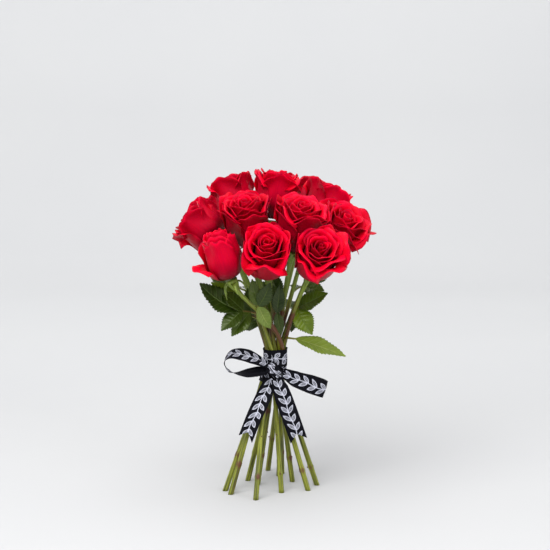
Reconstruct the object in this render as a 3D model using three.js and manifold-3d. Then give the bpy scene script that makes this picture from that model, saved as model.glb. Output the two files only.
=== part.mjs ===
// A hand-tied bunch of twelve red roses, standing on its own cut stems.
// The stems cross in a spiral where they are bound, so that they splay like a tripod's legs below the
// binding and carry a dome of blooms above it. A patterned ribbon is tied over the binding in a bow.
// Millimetres, +Z up, +X to the right and -Y to the front. Z = 0 is the surface that the cut ends stand on.
// The dimensions below are measured from a line up through the binding, and the whole is then set over
// the middle of its own outline.

import * as THREE from "three";
import { mergeVertices } from "three/addons/utils/BufferGeometryUtils.js";
import Module from "manifold-3d";

const wasm = await Module();
wasm.setup();

// ---------------------------------------------------------------- driving dimensions

const BUNCH_AT = [-1.7, -11.8, 0];
const GAP = 0.3; // clearance between pieces that touch
const PETAL = 0.7; // thickness of a petal blade
const LEAF = 0.7; // thickness of a leaf blade
const CLOTH = 0.7; // thickness of the ribbon

const BLOOM_DEPTH = 54; // from the tip of a bloom's heart down to its seat on its stem
const BLOOM_WAIST = 0.42; // share of that depth at which a bloom is widest
const NECK = 30; // reach of a stem's bend below its bloom

const WAIST_Z = 140; // height at which the stems cross
const WAIST_STEM = 2.35; // stem radius where it is bound
const FOOT_STEM = 2.9; // stem radius at its cut end
const STEM_SIDES = 5;

const SEAT_RADIUS = 6.2; // flat top of the receptacle that the petals stand on
const HIP_RADIUS = 5.4;
const SEPALS = 5;

// Each rose: the tip of its bloom's heart, the way it faces, where its cut end stands, where its stem goes
// through the binding, its size against a full bloom, how far it has opened, from below 0 (a closed bud) to 1,
// and its turn about its own axis in degrees. A closed bud may have one outer petal that flaps open.
const ROSES = [
  {
    heart: [-4.5, -78, 283.5], faces: [0.03, -0.77, 0.63], foot: [11.4, 43.7], bind: [8.9, 1],
    size: 1.1, open: 0.8, turn: 36
  },
  {
    heart: [52, -76, 279], faces: [0.18, -0.77, 0.6], foot: [-4.5, 56.5], bind: [11, 6],
    size: 1.05, open: 0.9, turn: 75
  },
  {
    heart: [-61, -53, 291], faces: [-0.32, -0.1, 0.94], foot: [7.8, 34.4], bind: [12.5, -3.3],
    size: 1.06, open: -0.22, turn: 30, flap: 2
  },
  {
    heart: [-94, -6, 300], faces: [-0.78, 0.12, 0.6], foot: [49.5, -2], bind: [4.3, -9.2],
    size: 1.0, open: 0.65, turn: 38
  },
  {
    heart: [-77, 76, 302], faces: [-0.5, 0.5, 0.7], foot: [39.4, -22.6], bind: [-1.1, -7.5],
    size: 0.98, open: 0.6, turn: 86
  },
  {
    heart: [-29, -33, 321], faces: [-0.08, -0.42, 0.9], foot: [22.7, 11.3], bind: [5.4, -3.9],
    size: 1.09, open: 0.85, turn: 50
  },
  {
    heart: [34, -38, 318], faces: [0.2, -0.34, 0.92], foot: [-15.7, -0.2], bind: [4.2, 3.8],
    size: 1.1, open: 0.95, turn: 58
  },
  {
    heart: [-48, 38, 336], faces: [-0.3, 0.3, 0.9], foot: [-17, -57.1], bind: [-5.1, -1.6],
    size: 0.98, open: 0.6, turn: 15
  },
  {
    heart: [8, 22, 346], faces: [0.12, 0.1, 0.98], foot: [10.5, -30.8], bind: [1, -0.6],
    size: 1.03, open: 0.85, turn: 36
  },
  {
    heart: [46, 100, 321], faces: [0.22, 0.55, 0.8], foot: [-44.3, -37.3], bind: [-4.1, 4],
    size: 0.98, open: 0.5, turn: 25
  },
  {
    heart: [67, 46, 327], faces: [0.42, 0.25, 0.87], foot: [-50.6, -23.4], bind: [0, 8.2],
    size: 1.0, open: 0.7, turn: 50
  },
  {
    heart: [83, -17, 303], faces: [0.44, -0.45, 0.77], foot: [-26.6, 15.2], bind: [6.3, 8.8],
    size: 1.15, open: 0.9, turn: 35
  },
];

// ---------------------------------------------------------------- small helpers

const UP = new THREE.Vector3(0, 0, 1);
const vec = (x, y, z) => new THREE.Vector3(x, y, z);
const rad = THREE.MathUtils.degToRad;
const smooth = (low, high, x) => THREE.MathUtils.smoothstep(x, low, high);
const mix = THREE.MathUtils.lerp;

function polar(radius, degrees, z) {
  return vec(radius * Math.cos(rad(degrees)), radius * Math.sin(rad(degrees)), z);
}

// A closed solid from a geometry, turned right side out.
function solidOf(geometry) {
  const bare = geometry.clone();
  bare.deleteAttribute("normal");
  bare.deleteAttribute("uv");
  const merged = mergeVertices(bare, 1e-4);
  const triVerts = new Uint32Array(merged.index.array);
  const vertProperties = merged.attributes.position.array;
  const make = () => new wasm.Manifold(new wasm.Mesh({ numProp: 3, vertProperties, triVerts }));
  let made = make();
  if (made.volume() < 0) {
    for (let i = 0; i < triVerts.length; i += 3) {
      [triVerts[i], triVerts[i + 1]] = [triVerts[i + 1], triVerts[i]];
    }
    made = make();
  }
  return made;
}

function union(solids) {
  return solids.reduce((whole, one) => whole.add(one));
}

function geometryOf(solid) {
  const mesh = solid.getMesh();
  const geometry = new THREE.BufferGeometry();
  geometry.setAttribute("position", new THREE.BufferAttribute(mesh.vertProperties, 3));
  geometry.setIndex(new THREE.BufferAttribute(mesh.triVerts, 1));
  geometry.computeVertexNormals();
  return geometry;
}

function indexedGeometry(points, faces) {
  const geometry = new THREE.BufferGeometry().setFromPoints(points);
  return geometry.setIndex(faces);
}

// A thin closed blade: a middle surface given by (u, v), from -1 to 1 across and from 0 to 1 along, with
// half the thickness on each side of it.
function blade(surface, across, along, thickness) {
  const middle = [];
  for (let j = 0; j <= along; j++) {
    for (let i = 0; i <= across; i++) {
      middle.push(surface((2 * i) / across - 1, j / along));
    }
  }
  const row = across + 1;
  const at = (i, j) => middle[THREE.MathUtils.clamp(j, 0, along) * row + THREE.MathUtils.clamp(i, 0, across)];
  const points = [[], []];
  for (let j = 0; j <= along; j++) {
    for (let i = 0; i <= across; i++) {
      const acrossIt = at(i + 1, j).clone().sub(at(i - 1, j));
      const alongIt = at(i, j + 1).clone().sub(at(i, j - 1));
      const out = acrossIt.cross(alongIt).normalize().multiplyScalar(thickness / 2);
      points[0].push(at(i, j).clone().add(out));
      points[1].push(at(i, j).clone().sub(out));
    }
  }
  const faces = [];
  const back = points[0].length;
  const quad = (a, b, c, d) => faces.push(a, b, c, a, c, d);
  for (let j = 0; j < along; j++) {
    for (let i = 0; i < across; i++) {
      const a = j * row + i;
      quad(a, a + 1, a + 1 + row, a + row);
      faces.push(back + a + 1, back + a, back + a + 1 + row);
      faces.push(back + a, back + a + row, back + a + 1 + row);
    }
  }
  const side = (a, b) => quad(b, a, back + a, back + b);
  for (let i = 0; i < across; i++) {
    side(i, i + 1);
    side(along * row + i + 1, along * row + i);
  }
  for (let j = 0; j < along; j++) {
    side((j + 1) * row, j * row);
    side(j * row + across, (j + 1) * row + across);
  }
  return indexedGeometry([...points[0], ...points[1]], faces);
}

// A closed tube through a list of { at, along, radius }. The first ring is cut level when levelFoot is set.
function tube(stations, sides, levelFoot = false) {
  const points = [];
  const middle = stations[Math.floor(stations.length / 2)].along;
  const aside = [vec(1, 0, 0), vec(0, 1, 0), UP].reduce((best, axis) => {
    return Math.abs(axis.dot(middle)) < Math.abs(best.dot(middle)) ? axis : best;
  });
  stations.forEach(({ at, along, radius }, n) => {
    const first = aside.clone().projectOnPlane(along).normalize();
    const second = along.clone().cross(first);
    for (let k = 0; k < sides; k++) {
      const turn = (2 * Math.PI * k) / sides;
      const spoke = first.clone().multiplyScalar(radius * Math.cos(turn));
      spoke.addScaledVector(second, radius * Math.sin(turn));
      const point = at.clone().add(spoke);
      if (levelFoot && n === 0) {
        point.addScaledVector(along, (at.z - point.z) / along.z);
      }
      points.push(point);
    }
  });
  const faces = [];
  const last = (stations.length - 1) * sides;
  for (let n = 0; n < last; n += sides) {
    for (let k = 0; k < sides; k++) {
      const next = (k + 1) % sides;
      faces.push(n + k, n + next, n + sides + next, n + k, n + sides + next, n + sides + k);
    }
  }
  for (let k = 1; k < sides - 1; k++) {
    faces.push(0, k + 1, k, last, last + k, last + k + 1);
  }
  return indexedGeometry(points, faces);
}

function stationsOn(curve, count, radiusAt) {
  return Array.from({ length: count + 1 }, (_, n) => {
    const t = n / count;
    return { at: curve.getPointAt(t), along: curve.getTangentAt(t), radius: radiusAt(t) };
  });
}

// ---------------------------------------------------------------- where each rose is

for (const rose of ROSES) {
  rose.axis = vec(...rose.faces).normalize();
  rose.seat = vec(...rose.heart).addScaledVector(rose.axis, -BLOOM_DEPTH * rose.size);
  rose.middle = vec(...rose.heart).addScaledVector(rose.axis, -BLOOM_DEPTH * BLOOM_WAIST * rose.size);
  const turn = new THREE.Quaternion().setFromAxisAngle(UP, rad(rose.turn));
  rose.turned = new THREE.Quaternion().setFromUnitVectors(UP, rose.axis).multiply(turn);
}

// A bloom's own point in the bunch's frame.
function placed(rose, point) {
  return point.multiplyScalar(rose.size).applyQuaternion(rose.turned).add(rose.seat);
}

// Blooms press on each other. Each keeps to its own side of the plane between it and each neighbour: a
// point that nears the plane is held back more and more, and stays the margin short of it.
const PRESS_SOFT = 5.5;

function pressed(rose, point, margin) {
  const limit = PRESS_SOFT - PETAL / 2 - GAP / 2 - margin;
  for (let pass = 0; pass < 3; pass++) {
    for (const other of ROSES) {
      if (other === rose) continue;
      const apart = rose.middle.distanceTo(other.middle);
      const toward = other.middle.clone().sub(rose.middle).divideScalar(apart);
      const plane = (apart * rose.size) / (rose.size + other.size);
      const into = point.clone().sub(rose.middle).dot(toward) - plane + PRESS_SOFT;
      if (into > 0) {
        const held = limit * (1 - Math.exp(-into / limit));
        point.addScaledVector(toward, held - into);
      }
    }
  }
  return point;
}

// ---------------------------------------------------------------- blooms

// Ten petals in three layers stand out of a core. Each layer: how many petals, the azimuth of the first, the
// height and radius of its roots, the petal's length, its half width in degrees, how far it laps outside
// its neighbour on one side and inside it on the other, the share of its length that cups outwards, its
// lean and the roll of its rim in degrees, closed and fully open, and its facets' shares of its length.
const LAYERS = [
  {
    petals: 5, first: 18, height: 1.6, root: 3.6, length: 61, half: 46, lap: 1.5,
    cup: 0.52, lean: [-10, 0], roll: [0, 100], rows: [0, 0.36, 0.78, 1],
  },
  {
    petals: 3, first: 52, height: 8, root: 3.2, length: 52, half: 65, lap: 1.1,
    cup: 0.43, lean: [-7, -3], roll: [-5, 60], rows: [0, 0.32, 0.8, 1],
  },
  {
    petals: 2, first: 10, height: 12.5, root: 2.8, length: 44, half: 84, lap: 0.4,
    cup: 0.38, lean: [-8, -4], roll: [-10, 20], rows: [0, 0.38, 1],
  },
];
const PETAL_FACETS = 3; // across a petal
const [FLAP_LEAN, FLAP_ROLL] = [44, 45]; // of an outer petal that flaps open on a closed bud
const FLAP_LENGTH = 0.74; // its length against the other petals'
const PETAL_BASE = 78; // degrees from the bloom's axis at which a petal leaves the core
const ROLL_FROM = 0.72; // share of the petal's length at which its rim starts to roll outwards
const SHOULDER = 0.2; // how much shorter a petal is at its sides
const CLAW = 0.5; // share of its full width that a petal has at its root
const CORE = [[0, 0], [4.6, 0], [4.6, 16], [7.4, 31], [5.6, 48], [0, 50]];
const CORE_SIDES = 5;

// The petal's lengthwise curve: it leaves the core almost flat, cups upwards and rolls out at its rim.
function petalProfile(layer, open, share, flap) {
  const steps = 16;
  const lean = mix(...layer.lean, open) + (flap ? FLAP_LEAN : 0);
  const roll = flap ? FLAP_ROLL : mix(...layer.roll, open);
  const length = layer.length * (flap ? FLAP_LENGTH : 1);
  let radius = layer.root;
  let height = layer.height;
  for (let n = 0; n < steps; n++) {
    const s = ((n + 0.5) / steps) * share;
    const cupped = smooth(0, layer.cup, s);
    const angle = rad(mix(PETAL_BASE, lean, cupped) + roll * smooth(ROLL_FROM, 1, s));
    radius += (Math.sin(angle) * share * length) / steps;
    height += (Math.cos(angle) * share * length) / steps;
  }
  return [radius, height];
}

function petalPoint(rose, layer, azimuth, u, v, flap) {
  const share = v * (1 - SHOULDER * Math.abs(u) ** 2.4);
  const [radius, height] = petalProfile(layer, rose.open, share, flap);
  const width = mix(CLAW, 1, smooth(0, 0.45, share)) - 0.2 * smooth(0.6, 1, share);
  const turn = azimuth + layer.half * width * u;
  const point = pressed(rose, placed(rose, polar(radius, turn, height)), layer.lap);
  const out = polar(1, turn, 0).applyQuaternion(rose.turned);
  return point.addScaledVector(out, layer.lap * u * smooth(0, 0.3, share));
}

function bloom(rose) {
  const core = new THREE.LatheGeometry(CORE.map((p) => new THREE.Vector2(...p)), CORE_SIDES);
  core.rotateX(Math.PI / 2);
  const position = core.attributes.position;
  for (let i = 0; i < position.count; i++) {
    const point = placed(rose, new THREE.Vector3().fromBufferAttribute(position, i));
    position.setXYZ(i, ...pressed(rose, point, 1));
  }
  const solids = [solidOf(core)];
  for (const layer of LAYERS) {
    for (let k = 0; k < layer.petals; k++) {
      const azimuth = layer.first + (360 * k) / layer.petals;
      const flap = layer === LAYERS[0] && rose.flap === k;
      const last = layer.rows.length - 1;
      const surface = (u, v) => petalPoint(rose, layer, azimuth, u, layer.rows[Math.round(v * last)], flap);
      solids.push(solidOf(blade(surface, PETAL_FACETS, last, PETAL)));
    }
  }
  return geometryOf(union(solids));
}

// ---------------------------------------------------------------- stems

// Straight from the cut end through the binding, then bending to face the way the bloom does.
function stemCurve(rose) {
  const foot = vec(...rose.foot, 0);
  const slot = vec(...rose.bind, WAIST_Z);
  const end = rose.seat.clone().addScaledVector(rose.axis, -GAP);
  const reach = slot.distanceTo(end) * 0.42;
  const rise = slot.clone().sub(foot).normalize().multiplyScalar(reach).add(slot);
  const neck = end.clone().addScaledVector(rose.axis, -NECK);
  const path = new THREE.CurvePath();
  path.add(new THREE.LineCurve3(foot, slot));
  path.add(new THREE.CubicBezierCurve3(slot, rise, neck, end));
  return path;
}

// Radii along a stem, by the length left to its end: the receptacle, the hip below it and the stalk.
const HEAD_STATIONS = [[0, SEAT_RADIUS], [5, HIP_RADIUS], [9, 3.9], [13, 2.5]];
const STALK_STATIONS = [0.25, 0.55, 0.82]; // shares of the bend above the binding

function sepal(rose, k) {
  const azimuth = (360 * k) / SEPALS + 36;
  const root = placed(rose, polar(SEAT_RADIUS * 0.55, azimuth, -3.2));
  const shoulder = placed(rose, polar(SEAT_RADIUS + 5, azimuth, -3));
  const tip = placed(rose, polar(SEAT_RADIUS + 5 + 2 * (k % 2), azimuth, -12 - 2 * (k % 3)));
  const curve = new THREE.QuadraticBezierCurve3(root, shoulder, tip);
  return solidOf(tube(stationsOn(curve, 2, (t) => mix(1.5, 0.4, t)), 3));
}

function stem(rose) {
  const curve = stemCurve(rose);
  const [below, above] = curve.curves;
  const stations = [
    { at: below.v1, along: below.getTangent(0), radius: FOOT_STEM },
    { at: below.v2, along: below.getTangent(1), radius: WAIST_STEM },
  ];
  for (const share of STALK_STATIONS) {
    stations.push({ at: above.getPointAt(share), along: above.getTangentAt(share), radius: WAIST_STEM });
  }
  const length = above.getLength();
  for (const [left, radius] of [...HEAD_STATIONS].reverse()) {
    const share = 1 - (left * rose.size) / length;
    const [at, along] = [above.getPointAt(share), above.getTangentAt(share)];
    stations.push({ at, along, radius: radius * rose.size });
  }
  const solids = [solidOf(tube(stations, STEM_SIDES, true))];
  for (let k = 0; k < SEPALS; k++) {
    solids.push(sepal(rose, k));
  }
  return geometryOf(union(solids));
}

// ---------------------------------------------------------------- leaves

// Each leaf: the number of its stem, the height at which its stalk leaves that stem, the stalk's further
// points, and its leaflets: the share of the stalk that each leaves it at, its tip, its width, the way its
// upper face looks and how far it arches towards that side, as a share of its length.
const LEAVES = {
  leaf_left_front: {
    stem: 3, height: 194, stalk: [[-20, -19, 196], [-36, -23, 199]],
    leaflets: [
      { share: 1, tip: [-77, -34, 231], width: 27, face: [0.3, -0.75, 0.6], arch: -0.1 },
      { share: 0.86, tip: [-54, -35, 179], width: 20, face: [-0.4, -0.8, 0.3], arch: 0.06 },
      { share: 0.55, tip: [-43, -30, 172], width: 19, face: [-0.1, -0.8, 0.4], arch: 0.08 },
      { share: 0.8, tip: [-55, -17, 219], width: 18, face: [0.4, -0.7, 0.6], arch: 0.05 },
    ],
  },
  leaf_left_back: {
    stem: 4, height: 188, stalk: [[-23, -5.5, 190.4], [-31, -1.5, 197.4]],
    leaflets: [
      { share: 1, tip: [-66, -1, 226], width: 22, face: [0.3, -0.8, 0.5], arch: 0.06 },
      { share: 0.7, tip: [-42, 4, 215], width: 15, face: [0, -1, 0.3], arch: 0 },
      { share: 0.5, tip: [-23, 3, 224], width: 18, face: [0, -1, 0.1], arch: 0 },
    ],
  },
  leaf_front: {
    stem: 3, height: 207, stalk: [[-14, -35, 206]],
    leaflets: [
      { share: 1, tip: [-1, -33, 181], width: 15, face: [0.2, -0.95, 0.2], arch: 0.08 },
      { share: 1, tip: [-1, -40, 233], width: 16, face: [0, -1, 0.2], arch: 0.04 },
      { share: 1, tip: [-21, -36, 236], width: 14, face: [0.2, -1, 0.2], arch: 0.04 },
    ],
  },
  leaf_centre: {
    stem: 1, height: 197, stalk: [[6, -15, 195]],
    leaflets: [
      { share: 1, tip: [10, -16, 171], width: 11, face: [0, -1, 0.1], arch: 0.05 },
      { share: 1, tip: [9, -22, 228], width: 14, face: [0, -1, 0.1], arch: 0.04 },
    ],
  },
  leaf_inner: {
    stem: 9, height: 188, stalk: [[-5, 3, 191]],
    leaflets: [{ share: 1, tip: [-4, 3, 216], width: 9, face: [0, -1, 0], arch: 0 }],
  },
  leaf_right: {
    stem: 12, height: 186, stalk: [[22, 4, 190], [30, 4, 198]],
    leaflets: [
      { share: 1, tip: [61, -6, 215], width: 22, face: [-0.2, -0.7, 0.6], arch: 0.06 },
      { share: 0.85, tip: [52, 10, 203], width: 18, face: [0.1, -0.7, 0.7], arch: 0.06 },
      { share: 0.8, tip: [44, -7, 169], width: 23, face: [0.2, -0.9, 0.3], arch: 0.08 },
      { share: 0.5, tip: [21, 2, 170], width: 12, face: [0, -1, 0.1], arch: 0 },
    ],
  },
  leaf_right_low: {
    stem: 2, height: 166, stalk: [[17, -7, 166], [26, -10, 165.5]],
    leaflets: [{ share: 1, tip: [80, -20, 148], width: 21, face: [0.15, -0.6, 0.8], arch: 0.05 }],
  },
  leaf_back_right: {
    stem: 11, height: 212, stalk: [[29, 27, 215], [36, 33, 216]],
    leaflets: [
      { share: 1, tip: [66, 52, 232], width: 23, face: [0, -0.6, 0.8], arch: 0.08 },
      { share: 0.75, tip: [58, 24, 212], width: 19, face: [0, -0.7, 0.7], arch: 0.06 },
      { share: 0.75, tip: [24, 54, 208], width: 19, face: [0, 0.2, 0.95], arch: 0.06 },
    ],
  },
  leaf_back_left: {
    stem: 5, height: 214, stalk: [[-33, 19, 215], [-38, 24, 216]],
    leaflets: [
      { share: 1, tip: [-68, 44, 226], width: 23, face: [0, -0.6, 0.8], arch: 0.08 },
      { share: 0.75, tip: [-60, 16, 209], width: 19, face: [0, -0.7, 0.7], arch: 0.06 },
      { share: 0.75, tip: [-25, 50, 208], width: 19, face: [0, 0.2, 0.95], arch: 0.06 },
    ],
  },
  leaf_back: {
    stem: 10, height: 196, stalk: [[7, 33, 199]],
    leaflets: [
      { share: 1, tip: [-8, 62, 190], width: 20, face: [0, 0.6, 0.8], arch: 0.08 },
      { share: 0.8, tip: [30, 52, 183], width: 19, face: [0.2, 0.7, 0.7], arch: 0.08 },
      { share: 1, tip: [-20, 30, 222], width: 24, face: [0.1, -1, 0.3], arch: 0.06 },
      { share: 1, tip: [-5, 41, 236], width: 19, face: [-0.1, -1, 0.3], arch: 0.06 },
    ],
  },
  leaf_middle: {
    stem: 8, height: 178, stalk: [[-12, 14, 181]],
    leaflets: [
      { share: 1, tip: [-46, 16, 203], width: 22, face: [0, -0.9, 0.5], arch: 0.06 },
      { share: 1, tip: [-10, 24, 214], width: 20, face: [0, -1, 0.2], arch: 0.05 },
      { share: 0.8, tip: [-36, 22, 172], width: 17, face: [0, -0.8, 0.6], arch: 0.06 },
    ],
  },
};
const STALK_RADIUS = 0.95;
const STALK_ROOT = 1.25; // its radius where it leaves the stem
const LEAF_FOLD = 0.22; // how steeply a leaflet's halves rise from its midrib
const TOOTH = 0.1; // how far its edge is cut in and out, as a share of its half width
const LEAF_CELLS = [2, 5];

// The middle of a stem at a height, and the way it runs there.
function stemAt(rose, height) {
  const curve = stemCurve(rose);
  let low = 0;
  let high = 1;
  for (let n = 0; n < 24; n++) {
    const middle = (low + high) / 2;
    if (curve.getPointAt(middle).z < height) low = middle;
    else high = middle;
  }
  return [curve.getPointAt(low), curve.getTangentAt(low)];
}

function leafletPoint(base, leaflet, u, v, row) {
  const span = vec(...leaflet.tip).sub(base);
  const length = span.length();
  const along = span.divideScalar(length);
  const side = along.clone().cross(vec(...leaflet.face)).normalize();
  const up = side.clone().cross(along);
  const outline = Math.sin(Math.PI * v ** 0.85) ** 0.9 * (row % 2 ? 1 + TOOTH : 1 - TOOTH);
  const half = Math.max(0.6, (leaflet.width / 2) * outline);
  const lift = LEAF_FOLD * Math.abs(u) * half + leaflet.arch * length * 4 * v * (1 - v);
  const point = base.clone().addScaledVector(along, length * v - 0.6);
  return point.addScaledVector(side, u * half).addScaledVector(up, lift);
}

function leaf({ stem: number, height, stalk, leaflets }) {
  const [inside, rising] = stemAt(ROSES[number - 1], height);
  const points = stalk.map((p) => vec(...p));
  const going = points[0].clone().sub(inside).normalize();
  const away = going.clone().projectOnPlane(rising).normalize();
  const lean = Math.sqrt(1 - going.dot(away) ** 2);
  const root = inside.addScaledVector(away, WAIST_STEM + GAP + 0.25 + STALK_ROOT * lean);
  const curve = new THREE.CatmullRomCurve3([root, ...points]);
  const radiusAt = (t) => mix(STALK_ROOT, STALK_RADIUS, t);
  const solids = [solidOf(tube(stationsOn(curve, points.length + 1, radiusAt), 4))];
  for (const leaflet of leaflets) {
    const base = curve.getPointAt(leaflet.share);
    const surface = (u, v) => leafletPoint(base, leaflet, u, v, Math.round(v * LEAF_CELLS[1]));
    solids.push(solidOf(blade(surface, ...LEAF_CELLS, LEAF)));
  }
  return geometryOf(union(solids));
}

// ---------------------------------------------------------------- ribbon

const RIBBON_WIDTH = 19;
const BAND_HEIGHTS = [118, 130, 142, 154];
const BAND_SIDES = 14;
const BAND_SLANT = 1.34; // a slanting stem's width where it is cut level, against its own
const KNOT_AT = [3.5, -17.4, 132.5];
const KNOT_HALF = [8.2, 4, 8.8];

// Lengths of ribbon. Each station: the middle of the ribbon, the direction across it, and its share of the
// full width where it is gathered.
const LOOP_LEFT = [
  { at: [-5.2, -17.4, 138.6], across: [0, 0.8, 0.6], share: 0.5 },
  { at: [-13, -17, 143], across: [0, 0.8, 0.6], share: 0.8 },
  { at: [-23.4, -17, 147.6], across: [0, 0.8, 0.6], share: 1 },
  { at: [-34.2, -16, 150], across: [0, 0.85, 0.53], share: 1 },
  { at: [-44, -15, 149.6], across: [0, 0.95, 0.3], share: 1 },
  { at: [-49.6, -15, 145], across: [0, 1, 0.05], share: 1 },
  { at: [-51, -15, 138.5], across: [0, 1, -0.2], share: 1 },
  { at: [-46.5, -16, 131.8], across: [0, 0.94, -0.35], share: 1 },
  { at: [-38.6, -17, 129.2], across: [0, 1, -0.1], share: 1 },
  { at: [-26.7, -17, 129.3], across: [0, 0.95, 0.3], share: 1 },
  { at: [-15, -17, 131], across: [0, 0.87, 0.5], share: 0.8 },
  { at: [-5.2, -17.4, 132], across: [0, 0.85, 0.5], share: 0.5 },
];
const LOOP_RIGHT = [
  { at: [12.2, -19.2, 130.5], across: [0.33, 0.1, 0.93], share: 0.5 },
  { at: [25, -21.5, 124], across: [0.33, 0.1, 0.93], share: 0.9 },
  { at: [41.2, -22.4, 117.8], across: [0.33, 0.05, 0.93], share: 1 },
  { at: [54.4, -21.6, 113], across: [0.3, 0, 0.95], share: 1 },
  { at: [57.8, -18.4, 111.5], across: [0.28, 0, 0.96], share: 1 },
  { at: [54.4, -15, 113], across: [0.3, 0, 0.95], share: 1 },
  { at: [41.2, -14.4, 117.4], across: [0.33, 0.05, 0.93], share: 1 },
  { at: [25, -15, 122.4], across: [0.33, 0.1, 0.93], share: 0.9 },
  { at: [12.2, -16.6, 129.5], across: [0.33, 0.1, 0.93], share: 0.5 },
];
const TAIL_LEFT = [
  { at: [-0.5, -15.6, 123.3], across: [0.98, 0, -0.2], share: 0.6 },
  { at: [-4.4, -16.9, 114], across: [0.94, -0.1, -0.3], share: 0.8 },
  { at: [-9.2, -22.8, 104], across: [0.8, -0.4, -0.32], share: 0.95 },
  { at: [-18, -30, 86], across: [0.75, -0.55, -0.3], share: 1 },
  { at: [-28.4, -36, 61], across: [0.75, -0.55, -0.3], share: 1 },
];
const TAIL_RIGHT = [
  { at: [5.4, -18.9, 123.3], across: [0.97, 0, 0.2], share: 0.6 },
  { at: [8.9, -20.8, 114], across: [0.93, 0, 0.35], share: 0.9 },
  { at: [12.5, -22, 104], across: [0.93, 0, 0.35], share: 1 },
  { at: [19.7, -22.5, 84], across: [0.93, 0, 0.35], share: 1 },
  { at: [29.4, -24.5, 56], across: [0.93, 0, 0.35], share: 1 },
];
const TAIL_CUT = 8; // depth of the notch in a tail's end

function ribbonPoint(stations, curve, cut, u, v) {
  const place = v * (stations.length - 1);
  const n = Math.min(Math.floor(place), stations.length - 2);
  const across = vec(...stations[n].across).lerp(vec(...stations[n + 1].across), place - n).normalize();
  const share = mix(stations[n].share, stations[n + 1].share, place - n);
  const point = curve.getPoint(v).addScaledVector(across, (u * share * RIBBON_WIDTH) / 2);
  return point.addScaledVector(curve.getTangent(v), -cut * (1 - Math.abs(u)) * smooth(0.6, 1, v));
}

function ribbonLength(stations, cells, cut = 0) {
  const curve = new THREE.CatmullRomCurve3(stations.map(({ at }) => vec(...at)));
  return geometryOf(solidOf(blade((u, v) => ribbonPoint(stations, curve, cut, u, v), ...cells, CLOTH)));
}

// The corners of a taut wrap round all the stems at one height, a distance clear of them.
function wrapAt(height, clear) {
  const spots = ROSES.map((rose) => stemAt(rose, height)[0]);
  return Array.from({ length: BAND_SIDES }, (_, k) => {
    const out = polar(1, (360 * k) / BAND_SIDES, 0);
    const furthest = spots.reduce((best, spot) => (spot.dot(out) > best.dot(out) ? spot : best));
    const corner = furthest.clone().addScaledVector(out, WAIST_STEM * BAND_SLANT + clear);
    return corner.setZ(height);
  });
}

function band() {
  const walls = [GAP, GAP + CLOTH].map((clear) => BAND_HEIGHTS.map((height) => wrapAt(height, clear)));
  const levels = BAND_HEIGHTS.length;
  const points = walls.flat(2);
  const at = (wall, level, k) => (wall * levels + level) * BAND_SIDES + (k % BAND_SIDES);
  const faces = [];
  const quad = (a, b, c, d) => faces.push(a, b, c, a, c, d);
  for (let k = 0; k < BAND_SIDES; k++) {
    for (let level = 0; level < levels - 1; level++) {
      quad(at(1, level, k), at(1, level, k + 1), at(1, level + 1, k + 1), at(1, level + 1, k));
      quad(at(0, level, k + 1), at(0, level, k), at(0, level + 1, k), at(0, level + 1, k + 1));
    }
    quad(at(0, 0, k), at(0, 0, k + 1), at(1, 0, k + 1), at(1, 0, k));
    quad(at(0, levels - 1, k + 1), at(0, levels - 1, k), at(1, levels - 1, k), at(1, levels - 1, k + 1));
  }
  return geometryOf(solidOf(indexedGeometry(points, faces)));
}

function knot() {
  const geometry = new THREE.SphereGeometry(1, 9, 6);
  const [wide, deep, high] = KNOT_HALF;
  const position = geometry.attributes.position;
  for (let i = 0; i < position.count; i++) {
    const corner = [position.getX(i), position.getY(i), position.getZ(i)];
    const [x, y, z] = corner.map((c) => Math.sign(c) * Math.abs(c) ** 0.7);
    position.setXYZ(i, x * wide, Math.min(y, 0.9) * deep, z * high);
  }
  return geometryOf(solidOf(geometry)).translate(...KNOT_AT);
}

// ---------------------------------------------------------------- the bunch

const matt = (color, roughness) => new THREE.MeshStandardMaterial({ color, roughness, metalness: 0 });
const RED_PETAL = matt(0xb8001c, 0.5);
const GREEN_STEM = matt(0x7a7f35, 0.6);
const GREEN_LEAF = matt(0x3f6a2c, 0.45);
const BLACK_CLOTH = matt(0x15151b, 0.85);

const bunch = new THREE.Group();
bunch.position.set(...BUNCH_AT);

function addMesh(name, geometry, material) {
  const mesh = new THREE.Mesh(geometry, material);
  mesh.name = name;
  bunch.add(mesh);
}

ROSES.forEach((rose, n) => {
  const number = String(n + 1).padStart(2, "0");
  addMesh(`bloom_${number}`, bloom(rose), RED_PETAL);
  addMesh(`stem_${number}`, stem(rose), GREEN_STEM);
});
for (const [name, form] of Object.entries(LEAVES)) {
  addMesh(name, leaf(form), GREEN_LEAF);
}
addMesh("ribbon_band", band(), BLACK_CLOTH);
addMesh("ribbon_knot", knot(), BLACK_CLOTH);
addMesh("ribbon_loop_left", ribbonLength(LOOP_LEFT, [2, 17]), BLACK_CLOTH);
addMesh("ribbon_loop_right", ribbonLength(LOOP_RIGHT, [2, 14]), BLACK_CLOTH);
addMesh("ribbon_tail_left", ribbonLength(TAIL_LEFT, [2, 6], TAIL_CUT), BLACK_CLOTH);
addMesh("ribbon_tail_right", ribbonLength(TAIL_RIGHT, [2, 6], TAIL_CUT), BLACK_CLOTH);

export default bunch;
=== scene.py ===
# %% [markdown]
# # A hand-tied bunch of roses
# Twelve red roses are laid in a spiral, tied where their stems cross and finished with a printed ribbon and
# a bow. The solids of the bunch are loaded first, so that every fine piece made here can be set exactly
# over the solid that it stands for.

import math
import random
from functools import partial

import bmesh
import bpy
from bmesh.types import BMEdge, BMFace, BMVert
from mathutils import Matrix, Quaternion, Vector, noise


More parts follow.
